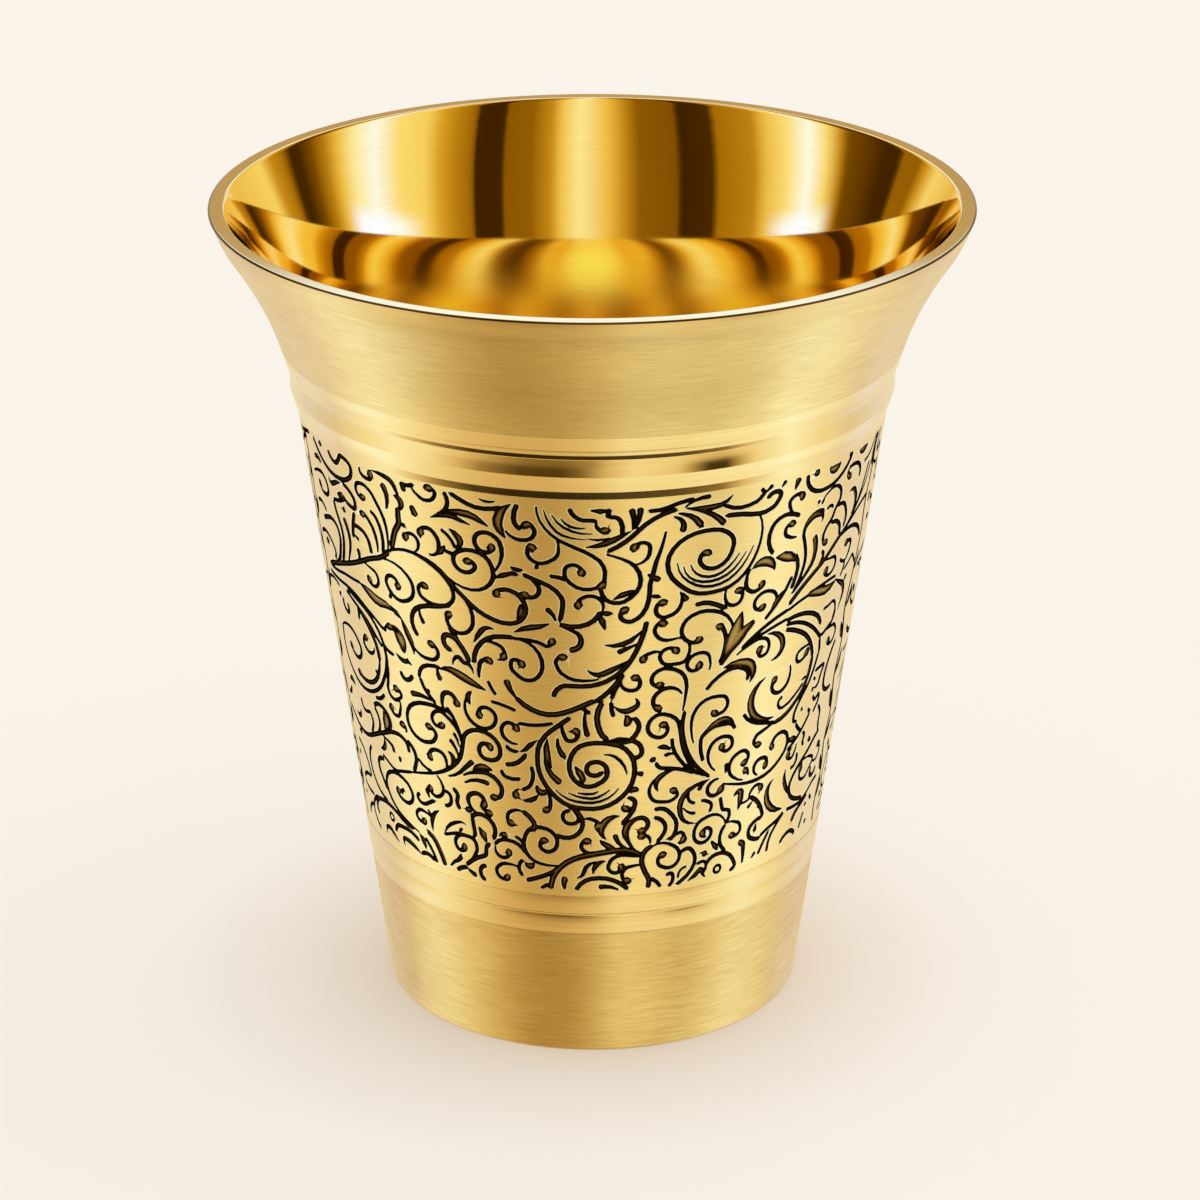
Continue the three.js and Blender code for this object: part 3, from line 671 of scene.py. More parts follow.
# Engraved sleeve: leafy scrolls cut into the cone. Each stroke is a kind, a width in mm and the points that
# the graver passes: degrees round from the front, plus to the right, and mm above the table
scrollwork = {
    "front upper": """
line .65 -13.8,79.1 -14.7,77.6 -14.4,76.2 -13.3,75.6
curl .65 -16.5,75.4 -15.2,74.5 -13.3,74.2 -11.3,74.7 -10.9,75.8 -12,76.4 -13,76
leaf 1.3 -15,79 -17.6,77.3 -17.9,75.8 -16.2,74.2
curl .6 -10.3,79.1 -10.1,77.6 -8.7,75.9 -6.5,74.6 -3.8,73.7 -.6,72.7 1.6,71.6 2.5,70 1.7,68.4
    -.8,67.8 -3.8,68.4 -5.3,69.8 -4.7,71 -3,71.1 -2,70.3 -2.6,69.6
line .6 -8.4,69.5 -6.5,69.4 -5,69
hatch .4 -9,78.7 -8.2,77 -6.2,75.4 -3.5,74.8 -1.3,74.7
hatch .4 -7.6,78.1 -6,76.6 -3.5,75.7 .2,75.5
hatch .4 -5.9,77.6 -4.3,76.5 -1.1,76.3
hatch .4 -.8,74.8 1,74.6 3.2,74.9
line .6 -4.2,79 -3.4,77.9 -1.8,77.3 0,77.3 1,77
leaf .8 -.5,78.7 1.5,78.5 3.3,78.7
line .6 3.3,78.9 2.8,77.6
curl .6 .8,77 1.4,76 2.6,75.9 3.1,76.3
line .6 3,77.6 4.6,77.6 5.6,76.6 5.5,75.4
drop .7 7.6,76 7.7,77.6 7.2,78.8
drop .7 8,75.9 8.8,77.3 8.9,78.9
leaf .9 -1.5,73.6 2,74 5,74.9 7.5,75.8
line .65 2.8,73 5.2,73.8 7.6,75 10,76.5 12.5,77.5 16,78.2
line .6 10.4,78.3 13.2,78.4 16,79 19.2,79.4
curl .65 2.5,72.6 5.5,72 8,71 9.3,69.5 9.2,68 7.8,66.7 5.5,65.9 3.3,66.1 2,67 1.9,68.3 2.9,68.5
leaf .9 4,66.3 6,67 8.8,67.5
curl .6 8.3,71.1 10,71.5 11,72.6 10.5,73.9 9,74 8,73.3 8.4,72.9
curl .6 -6.8,74.7 -6.3,73.5 -6.6,72.4 -8.2,71.5 -10.2,71.2 -11.8,71.7 -12.4,72.7 -11.8,73.4
    -11.1,72.8
drop .6 -10.4,71.3 -10.8,70.3
line .65 -13.5,69.5 -11.2,68.9 -9.2,68.4 -7,67.5 -5.8,66.3 -5.9,64.8 -6.4,63.4
curl .7 -13,69.4 -11.2,68.6 -10.3,67.6 -11,66.6 -12.6,66.4 -13.6,67.2
line .6 -16,69.6 -14.4,69.3
leaf .7 -16,70.5 -15,70.1 -13.2,70.2
leaf .9 -16,61.2 -13.5,62 -10.5,62.4 -8.2,63
drop .7 -7.2,63.2 -7.9,64.3 -9.2,65
line .7 -6.5,62.9 -4,62.6 -1.6,62.8 .5,63.6 1.6,64.6
curl .6 1.8,64.6 2,66 .6,66.8 -1.4,66.8 -2.7,66.1 -2.2,65.1
leaf .9 .8,64.6 1.7,64.5 4.2,64.5
leaf .9 1.2,64.6 1.6,64 2.6,62.1
drop .8 -6.5,62.7 -4.5,62.2 -2.8,61.6 -2.2,60.6 -3,59.6 -4.8,59.4
curl .65 -16,60.3 -13,60 -11,58.8 -10.2,57.4 -10.6,55.8 -12.2,54.8 -14,54.7 -15.6,55.3
    -16.8,56.2 -16.2,57.4 -14.8,57.2 -14.7,56.3
curl .6 -16,60.5 -13,60.4 -10.5,60.1 -9,59.7 -8.1,60.3 -8.6,60.9
curl .6 1.5,55.3 -2,55 -5,55.4 -7,56.6 -7.3,57.8 -6.2,58.3 -5.3,57.8
line .7 10.9,63.2 10.1,61 8.6,58.6 6.8,56.8 4,55.3 .5,54.4 -3,54.2 -6,54.2 -7.6,53.4 -8,52.5
leaf .8 2.2,60.1 4,59.9 7,60.3 9.8,61.9
drop .7 9,60 7.2,59.5 5,58.9
leaf .9 -1.2,56.7 .6,55.9 4,56.5 7.2,57.8
line .7 .5,52 3,53.2 5,54.6 6.4,55.9
line .6 4,52.3 4.8,53.8 5.8,54.8
curl .65 6,55.1 6.3,54 7.6,53.5 9.4,53.7 9.9,54.6 9.1,55.3 8.3,54.8
curl .7 14,75.5 13.2,73 12.2,71 11.8,69.6 11.3,68.4 11.2,66.5 10.6,64.9 9.2,63.7 7.2,63.2
    5.6,63.9 6,64.7 7.4,64.8
drop .8 10.5,69.6 12,69.2 13.2,68.6
line .6 11.6,66.6 13.4,66.4
curl .6 14,58.6 11.8,58.6 10.4,57.9 11,57.3
    """,
    "right upper": """
drop .6 17.5,78.4 20,79.3 22.6,79.4
leaf .9 17.5,78.2 20,78 22.5,77.9 25,78.1 27.2,79.3
drop .8 18,78.2 21,77.6 23.8,76.6 25.8,75.3
line .6 25.5,77.9 27.5,77.3 30.5,77.2 33,77.7 34.3,78.8
drop .6 34.3,78.3 33.3,79.2
drop .6 34.5,78.5 36,79.3
line .7 35,77.4 36.5,78.2 38,77.9 37.5,76.7 35,75.8 32.5,75.8 29.5,76.2 26,76.4
drop .9 16.5,77.6 19,77 21,75.5
drop .8 15.5,77.2 17.3,76.3 17,75
drop .6 38.2,78.6 39.2,79.4
drop 1 41.8,77.8 42.6,79.2
curl .7 33.4,75.6 34.4,74 34.4,72.3 33.4,70 31.2,67.8 28.2,66.5 24.5,66.1 20.8,66.3 17.5,67.6
    15.1,69.4 14.6,71.2 15.8,73 18.4,74.3 22,74.8 25.8,74.4 28,73 27.9,71.4 26.5,70 24,69.4
    21.9,69.9 21.1,71 22,71.8 23.1,71.2
hatch .45 16.5,71 17.2,69.4 19.4,67.9 23,67 27,67.3 30.4,68.9 32,70.5 32.8,71.6
hatch .45 17.8,70.4 18.8,68.9 21.2,67.9 24.5,67.7 27.8,68.4 30,69.8 31.2,71
hatch .45 19.2,70.6 20.3,69.2 22.6,68.4 25.5,68.5 28.2,69.7 29.7,71
curl .65 17.3,66.9 17.9,65.5 17.2,64.3 15.6,63.6 13.8,63.5 12.6,64.6 13.4,65.5 14.9,65.2
drop .9 18,66.5 19,65.4
line .7 20.6,64.6 22.5,64.8 25.5,64.2 27.6,63.4
curl .6 27.6,66.3 27.2,65 28.2,63.9 30,63.7 31.2,64.6 30.7,65.6 29.6,65.2
curl .65 29.8,59.3 29.6,60.8 28,62.4 25,63.4 21.3,63.5 18.8,62.5 18.2,61 19.4,59.8 21.2,59.4
    22.6,60.2
leaf 2 28,56.2 30,59 31.6,62.6
leaf 1.6 28.5,56.5 32,59.3 34.6,60.9
line .7 27.3,55.4 30,57.5 33,59.5 34.9,60.8
curl .7 27,56 28.2,58 28,59.8 26.6,61 25.6,60.9
curl .6 24.8,55 25,56.4 24.2,57.5 22.2,57.8 20.3,57.2 19.9,56 21,55.4 22.5,55.7 22,56.5
curl .6 18,60.4 17,60.3 15,60.2 13.2,60.8 12.6,62 13.6,62.7 14.8,62.1
curl .6 18,60.3 19.8,59.5 20.1,58 19.3,57 17,56.7 14.6,57 13.9,58.2 15.2,59 17,58.8 17.2,58
curl .65 19.5,50 19.9,52 20,53.5 19.2,55 17,56 14,56.1 12.5,55.3 12.6,54.2 14,53.9 14.4,54.5
curl .7 19,52.4 16.6,53.4 14,53 12.8,51.8 13.4,50.8 15,50.7
line .6 24.5,52.2 27,53.8 30,54.6 32.8,54.4 34.6,53.4 34.4,52.4
leaf 1.4 28,54.9 32,55.2 35.3,54.4 36,53 35,51.9
line .6 32.4,57.2 36,58.8 40,60 44,60.7
curl .6 31,56.3 34,57.4 37,57.9 39,57.4 39.6,56.4 38.8,55.4 37.2,55.4 37.1,56.3 38,56.5
line .5 33.5,57.6 37,58.4 40.5,59 44,59.4
leaf 1 38.5,58.2 41.5,57.8 43.4,56.6 43.6,55.4 42.2,54.4 40.3,54.2
line .6 37.5,60.4 40,62 42.5,63.8 43.8,65.4
leaf 1 38.8,61 40.6,62.8 41.8,63.8
curl .6 39,61.2 40.2,62.6 39.8,63.7 38,64.4 35.8,64.3 34.4,63.3 35,62.3 36.4,62.2 36.6,62.9
curl .7 32.6,68.2 31.8,66.8 32.4,65.4 34.2,64.9 35.8,65.6 35.4,66.2
leaf 1.5 33,68.1 36,68.8 38.7,67.1
leaf 1.6 38.6,68.8 41.5,68.6 44.5,67.4
line .65 38,69.5 36.6,70.8 36.4,72.4 37.6,73.9 39.8,74.5 42.5,74.2 44,73.7
curl .65 44,70.9 42,71.1 40.6,71.7 40.7,72.7 42,73 42.6,72.4
curl .65 42.5,74.3 41,75.3 40.8,76.2 42,76.8 44,76.6 43.4,75.9
    """,
    "far right upper": """
line .65 45,79.2 45,78.3 46.2,77 48.6,76.2 51.5,76.1 54.5,76.5 57,77.4 58.6,78.4 59.3,79.4
line .6 58,79.2 59.4,79.2
dot 1.1 47.5,78.9
leaf 1.3 51.4,79 53,78.3 55.2,79
leaf 1.1 62.5,78.9 64.3,78.5 66.8,79
line .5 66,76.6 69,77 71.3,78.3 73,79.1
line .6 58.8,77.2 61,77.4 63.4,76.9 64.6,75.5 64.3,74.9
drop 1.1 58.9,77 59.6,76 60.6,76
curl .65 50.5,74.4 52.5,75.5 55,75.7 56.8,74.8 57,73.6 55.8,72.6 54.8,71.3 53.2,70.4 52.4,69.2
    53,68.3 54.4,68.5
drop .7 49.8,74.9 49,74.4
line .5 50.3,74 51,74.8
line .5 52.4,72.8 54,73.2 54.6,72.6
line .6 56.5,72.6 58.5,72.6 60.2,71.4 60.7,70 60,69
line .65 54.6,70.6 57,70.4 58.6,69.2 58.6,68.2
leaf .9 60.5,73.5 62.5,73.7 64,72.8 64.6,71.5 63,70
line .6 51.6,73 49.2,73.3 46.8,72.6 45.8,71 46.8,69 47.3,67 46.5,65 44.8,63
leaf 1 45.8,70.6 47,72.4 49.5,72.9 51.4,72.2 51,71.4
drop .9 44.2,62.8 47.5,64.6 50,66.5 50.2,68.5 49.3,70
line .6 52.4,67.2 53.2,66.9 52.8,65.6 52.2,65.2
line .7 44,68.4 45.2,66.8 44.9,65 44,63.6
line .8 44,61.4 47,63 50.5,64.4 54,65.6 57,67 60,68.2
line .6 60,68.2 64,69.4 68,70.4 72,70.9
line .5 62,69 66,71 69.5,73.5 71,75.5
line .5 61.5,68.6 65,70.6 67.5,73 69.5,76
line .65 59.5,67.9 63,68.2 67,67.7 70,66.5 71.4,65.2
curl .6 54.2,65.5 56.4,65.4 58.6,65.1 59,64.1 57.8,63.2 56,63.1 55.2,63.6 56.4,64
curl .7 63.4,63.4 65.4,64.6 65.6,65.8 64.2,66.2 62.4,65.7
line .5 61,64.4 62,63.8 63.6,63.4 63.5,62.4 62.4,61.6
line .5 64,62.2 66.5,62.8 68.2,63.3 69.5,62.6 71,61.6
line .5 50,61.8 53,62 57,62.2 60.3,62.2
leaf 1.5 49,61.6 53.5,61.4 57,61 60.8,61.6
line .5 44,60.6 47,61.2 50.5,61.6
leaf .9 60,61.8 62.6,60.8 64.8,60 65.7,58.8 65,57.6 63.8,56.4
drop .7 64.6,60.2 66.4,61.1
line .5 56.6,58.2 59,58.3 61,58.5 62.4,57.5 61.8,56
line .7 44,59.2 48,59.3 52,58.7 55,57.6 56.5,56.2
line .6 44,58.6 48,58.2 52,57 55,55.6 57,54.5 60,55 62,55.6 62.6,57
line .7 44,57.9 48,57 51.5,55.6 53.8,53.8 54.9,52
curl .6 53.6,54 51,54.1 48.9,53.4 49.3,52.4 51.2,52.4 52.6,53.6
line .6 57,54.1 57.5,53 57.6,52
curl .6 57.5,54.6 61,54.8 63.6,54.6 64.8,53.4 63.6,52.3 61.6,52.4 62,53.3
    """,
    "right lower": """
curl .65 26.4,39.8 24,40.4 21.5,42.4 19.8,45 19.2,47 18.4,48.6 16.5,49.5 14,49.7 12.3,48.9
    12,47.5 13.4,46.6 15.3,46.5 16.3,47.4 15.6,48.2 14.6,47.8
line .6 20,49.8 19.6,48 20.2,45.5 22,42.8 24.6,40.8 27,39.6
curl .6 22.6,44.8 21.7,47 22.1,49.3 24,50.7 27,51.1 29.6,50.6 30,49.4 28.8,48.6 27,48.7 27.2,49.3
line .6 25.2,42 24.3,43.8 24.4,45.6 26.2,46.6 29,46.8 31.5,46.6 32.6,45.7
leaf 1.1 24.6,45.3 27,47 30.5,47.4 32.4,46.2
curl .65 28.6,40.2 26.6,41.6 26.3,43.3 27.6,44.6 30,45 32,44.4 32,43.2 30.6,42.8 29.6,43.4 30.2,44
curl .7 30.5,38.1 34,37.5 38,37.1 42,37.2 44,37.5 47,38.5 49.3,40 49.6,41.3 48.4,42.5 46.4,42.8
    44.6,42.2 44.2,41.3 45.2,41
curl .65 36.5,37.8 33.8,38.4 32.3,39.4 32.2,40.8 33.8,41.9 36.2,42 37.2,41.1 36.4,40.3 35.2,40.5
drop .6 31.2,39.4 31.2,41
curl .5 37.8,38.1 36.9,39 35.8,39.1
curl .7 40.5,37.8 39.3,38.6 39.7,39.7 41.4,40.1 43,39.6 42.8,38.8 41.8,38.6
leaf 1.2 40,52 37.2,50.8 36.2,49 37,47.3 39.6,46 42.5,45.6 44,45.7
line .55 34.5,47.6 35.6,46.7 37.8,45.8 41,45.2 44,44.8
curl .7 44,44.7 41,44.2 38.9,43.7 38.4,42.8 39.6,42.3 40.6,42.6
curl .7 46.8,52.5 47.3,51 46.2,49.5 44,49 42.2,49.6 42,50.7 43.4,51.3
leaf .8 14,44.9 15.6,45 17.2,44.4
line .55 17.4,46.2 17.8,44.6 19.5,42.8 22,41.2 24.5,40.3
drop .6 18.2,43.8 17,43.9 15.8,43.6
line .6 14,42.9 14.6,42.2 17,41.8 20,41.4 23,40.6
leaf .9 12.5,43 14,43.6
leaf .9 15,38.5 14.3,40 15.8,41 18.5,41.4
curl .6 15,40.8 13.2,39.8 12.8,38.4 14.2,37.2 15.8,37 18,37 19.4,37.8 18.8,38.4 17.6,38.1
line .65 14,35.9 16,36 18.3,35 19.6,33.6 19.4,32.2 18.2,31.2
line .65 14,34.8 15.8,34.4 17,33.2 16.4,32 15,31.2
curl .6 17.6,31.4 19.4,31.8 20.8,32.1 21.8,31.3 20.8,30.6
curl .65 14,30.5 16,30.9 18.6,30.5 20.6,29.4 20.8,28.2 19.4,27.2 17.2,27.2 15.6,28 16,29 17.6,28.9
line .65 21.3,29.1 23,29.5 24.4,28.8 25,27.5 24,26 22,24.9 20.6,24.4
line .4 21,25.2 21.5,26.5 23,26.8
line .6 17.8,25.8 19,26.2 19.6,25.4 18.4,24.3
line .6 14,25.8 15.5,25.2 16.5,24.3
leaf .9 23.2,24.5 25,25.1 26.8,25.9 27.6,25 28.4,24.6
line .5 25.6,26.7 27.6,27 27.4,25.4
dot 1 27.4,28.2
leaf .9 27.5,39.2 24.5,38.8 21.8,38 20.4,36.7 20.3,35.1 21.3,33.8 23,33.2 24.8,33.1
drop .7 26.5,39 25.4,38.6 24.6,37.7
line .5 22.2,37.8 22.2,36.8 23.2,36.2 24.2,36.1
drop .5 21.2,35.6 22.6,34.8 24.3,34.6
curl .7 29.8,38.9 27.8,38.7 26.8,37.8 27.3,36.9 28.8,36.6 30.3,37.2 30.6,37.8
line .55 25.2,36.2 27,36 28.2,35.3 27.6,34.3
curl .65 32.5,32 31.6,33 29.6,33.7 27,33.6 25,32.9 24.2,31.6 24.8,30.4 26.6,29.9 28.4,30.5
    28.6,31.6 27.4,32 26.4,31.4 27.2,30.9
line .6 30.4,36.2 30.8,35.2 31.4,34.2 33,33.9 33.4,33 32.4,32
curl .6 33,32 35,31.9 36.8,31.2 36.8,30 35.4,29.7 34.2,30.4
line .6 32.6,31.8 31.4,30.6 31.5,29.2 33.2,27.9
leaf 1 28.8,29.9 30.2,29 31,28.2
line .65 28,26.4 29,27.2 31.5,27.7 34,27.3 35.8,26.2 36.4,25 35,24.7
ring .45 31.4,25.4
drop .9 38.9,25 38.8,26.8 38.2,28.2 36.8,28.3
leaf 1.1 34.2,35.5 35.8,36.2 36.2,35 35.6,33.4
line .4 35.8,34.3 37.6,34.3 39,34.6
curl .6 38.8,34.6 39.4,35.8 41,36.3 42.2,35.8 41.6,35.2
line .7 39.2,34.8 41.5,33.8 43.2,32.4 44,31.2
drop .6 40,34 38.6,33.2
line .4 41.6,33 43,32.6
line .7 44,31 41.5,30.8 40,30 40,29 41.6,28.2 44,28
drop .8 42,30.3 41.8,29.2
drop .6 41.7,25.2 43,26.1
    """,
    "far right lower": """
line .5 46,48.1 44.6,47.6 45.2,46.6 47.2,46.6 50,47.5 52.6,48.7
drop .5 51.6,49.2 53.4,49.5
line .8 44,44.7 47.5,45.2 50.5,46.4 53.2,48 54.5,50 54.9,52
line .6 57.5,52 56.6,50.2 55,48.2 52,46 50.8,44.6 51,43.4
line .5 50.7,43.4 52.2,43.4
drop .6 53.5,45.2 53.8,44.4
drop .7 56.2,44.3 57.6,43.5
line .6 57.2,49.4 59.5,49.6 61,49.6 60.2,48.4 59.6,47.2 58.4,46.8
line .5 56.8,48.6 58,48
leaf .8 56.6,46.8 57.8,46.8
line .6 58,45.9 59,45 60.8,45.4 61,44.6 59.8,43.6 59,43.1
line .6 50,39.6 53,40.6 55.5,42 57.5,43.4
line .6 52,43 53,42.2 54.4,41.6
dot 1.1 51.5,40.9
line .7 66,52 63.4,49.6 62.4,47.6 63,45.8 65,45.1 67.4,45.3
line .6 61.4,43.6 63,42.4 63,40.9 63.6,39.6
line .6 55.4,41 56.4,40.6 56.2,39.4 57,38.9
leaf 1 58.4,39.3 60,39.2
curl .6 53.4,40 53.2,38.8 52,38 50.8,38.3 51.3,39.2
line .6 54,38.4 54.4,37.2 53.2,36.5 52.2,36.6
line .7 64.4,39.5 62,38.8 59.5,37.6 56.5,36.4 54.2,35.2 53,33.8 53.6,32.4 56,31.3 59.5,30.8
leaf .9 50.6,36.9 50.4,35.4 51.6,33.8 53.6,32.4
curl .6 57.5,36.4 61,36.4 63,35.6 61.8,34.6 59.6,33.6 57.4,33.9 57,35.2 57.8,35.9
curl .6 63,35.4 65.8,35.2 66.6,36.4 65.6,37.2 64.6,36.8
line .7 63,34.4 63,33.2 64.6,33 65.8,34
leaf 1.2 46.6,36.2 44.8,35.2 44.6,33.8 46,32.2 48.6,31.2 51.5,30.9
line .6 53,30.3 56,30.1 59,30.1 62,30.6 65.5,31.8 68,32
line .6 44,28.2 46.5,28.9 49,29.3 52,30.2
line .6 52,30 49.6,28.8 47.6,27.2 47.3,25.2
line .6 44,25.4 45.4,27 47,28.4
drop .9 63,30.3 60,29.6 57.4,28.8 56.4,27.8
line .6 64.5,30 66.2,29
leaf .7 62,29 63.6,29
line .7 52.2,25.4 54,26.3 56.5,26.5 58.8,25.5
line .6 62.5,28 61.6,26.8 61,25.8
leaf .8 63.6,26 65.2,26.3
    """,
    "left upper": """
leaf .8 -46.5,79.5 -43.5,79.4 -41.2,79 -39.8,77.6 -39.4,76.4
leaf 1 -41,77 -39.2,76.6 -40,75.2
line .9 -40,75.5 -40.2,74.5 -40.2,73.4 -41.4,72.2 -42.2,71 -43,69.5
drop .7 -40.2,73.4 -38.4,73.2
drop .9 -43.2,74.7 -42.7,75.8 -42.7,77 -43.8,78.2
line .8 -38.4,79.4 -37.8,78
line .6 -38.2,79 -36,79.2 -35.2,79.5
curl .6 -36.2,79.3 -35,78.2 -33,77.6 -31,78.2 -30.8,79.2 -32,79.4 -32.8,79
leaf 1.5 -36.6,76.5 -36,75.6 -35.6,74.9
line .6 -28.8,79.4 -28,78.2 -28.8,76.8 -30.6,76
leaf .8 -32.4,75.3 -30.4,75.9 -27.5,76.2 -24.6,75.6 -23.2,75.4
leaf 1.1 -29.5,76.5 -26,76.9 -23,76.7 -21,76 -19.6,75.5
line .65 -27.4,79.4 -25,78.6 -22.5,78 -19.5,78 -17.2,78.4
hatch .4 -21.6,79.3 -20.5,79 -18,79.2
curl .6 -36.8,70 -35.8,70.8 -36,71.9 -37.4,72.4 -38.8,71.9 -38.4,71.2
curl .7 -33.6,70.2 -31.5,70.5 -30.8,71.6 -31.3,73 -33,73.8 -34.8,73.3 -34.6,72.4
leaf .9 -32,70.3 -30,71.3 -29.4,72
line .6 -29.6,71.2 -27.6,70.9
leaf 1 -28.4,74.4 -27.2,74 -26,72.6 -27.2,71.8
line .5 -30.2,74.1 -28,73 -27.2,71.8
curl .7 -29,67.4 -27,66.7 -24,66.4 -21.5,66.9 -19.7,68.2 -19.6,70 -20.8,71.3 -23.2,71.9 -25.8,71.7
    -27.6,70.8 -27.6,69.6 -26.2,68.8 -24.2,68.9 -23.2,69.9 -24.4,70.4 -25.2,69.8
curl .7 -19.6,69.2 -18,70.6 -17.4,72.4 -18.2,74 -20.4,74.7 -22.4,74.2 -22.8,72.9 -21.4,72
    -19.6,72.3 -20,73.2
leaf .8 -19.6,68.4 -17.8,69 -16,69.4 -14.5,69.5
curl .75 -46,68.3 -43,69.2 -39.5,69.8 -36,69.6 -33,69 -30.6,68 -28.6,66.6 -26.2,65.2 -23.6,63.8
    -20.5,62.8 -17.5,62.4 -14.8,62.8 -13.2,64.2 -13.6,65.8 -15.4,66.9 -17.6,67.1 -19,66.6 -18.6,65.9
leaf 1 -15.2,63.2 -14.2,64.2 -14.4,65.4
curl .65 -36,69.4 -32.5,68.5 -30,67.3 -28.6,65.9 -28.6,64.6 -30,63.6 -32.5,63.2 -35,63.4
    -36.8,64.2 -36.8,65.2 -35.8,65.6 -34.8,65
line .7 -29.6,63.6 -33,63 -36,62.6 -38.4,61.8 -39.6,60.6 -39.6,59.2 -38.4,58
drop .6 -37.4,62.2 -37.2,60.9 -36.4,60
curl .65 -28,66 -25.6,64.6 -24.5,62.8 -25,61 -26.6,60.1 -28.6,60 -30.4,61 -30.2,62.2 -29,62.3
curl .65 -46,67.4 -43,67.4 -40.2,66.6 -38.5,65.2 -38.7,63.6 -40.4,62.6 -43,62.3 -45.2,63.2
    -46,64.4 -45,65.3 -43,65.1 -42.6,64.2 -43.6,64.2
drop .7 -45.2,62.8 -45.4,62
leaf .9 -46,61 -44,60.2 -42.8,59.6
leaf 1 -43,60 -41.8,58.2 -40.6,56.6 -40.2,55
curl .65 -40.4,56.6 -38.6,55.4 -36.4,55.1 -34.4,55.4 -33.6,56.4 -34.6,57.3 -36.2,57.2
line .7 -46,58 -43.6,57.4 -42.8,56 -43.6,54.8
leaf 1.6 -45.8,57.4 -44,56.6 -44,55
leaf .8 -46,54.4 -44,53.6 -42,53.6 -41.2,53.2
drop .5 -42.6,53.6 -42.4,54.2
line .6 -30.4,60.2 -29,59.6 -28.6,58.8
line .8 -30,57.2 -31.8,58 -31.4,59.2 -29.6,59.2 -27.6,58 -26.2,56.2
leaf .7 -30,55 -29.8,56 -28.6,56.5 -27.6,55.9 -26.6,55.8 -25.4,54.4
line .7 -25,56 -24.6,57.6 -23,59.2 -20.6,60.2 -18,60.5 -16,60.5
curl .7 -24,54 -24,55.4 -23.2,56.6 -21.8,56.9 -21.4,56.2
leaf .8 -24.8,58.9 -23.6,60.2 -21.6,61.4 -19.8,61.3
curl .6 -22.4,59.4 -20,59.4 -18.4,58.8 -18.2,57.8 -19.2,57.3
line .6 -39.5,52 -38.4,53.6 -36.4,54.2 -33.5,54.2
leaf 1.3 -34,54 -31,54.4 -28.5,53.9 -25.5,53.1 -22.5,52.4
drop .9 -34.2,54 -33.9,52.8 -33.4,52.4
drop .9 -16,52 -17.4,53.2 -18,54.5
line .5 -22.2,54 -21.4,52.8 -20.4,52
    """,
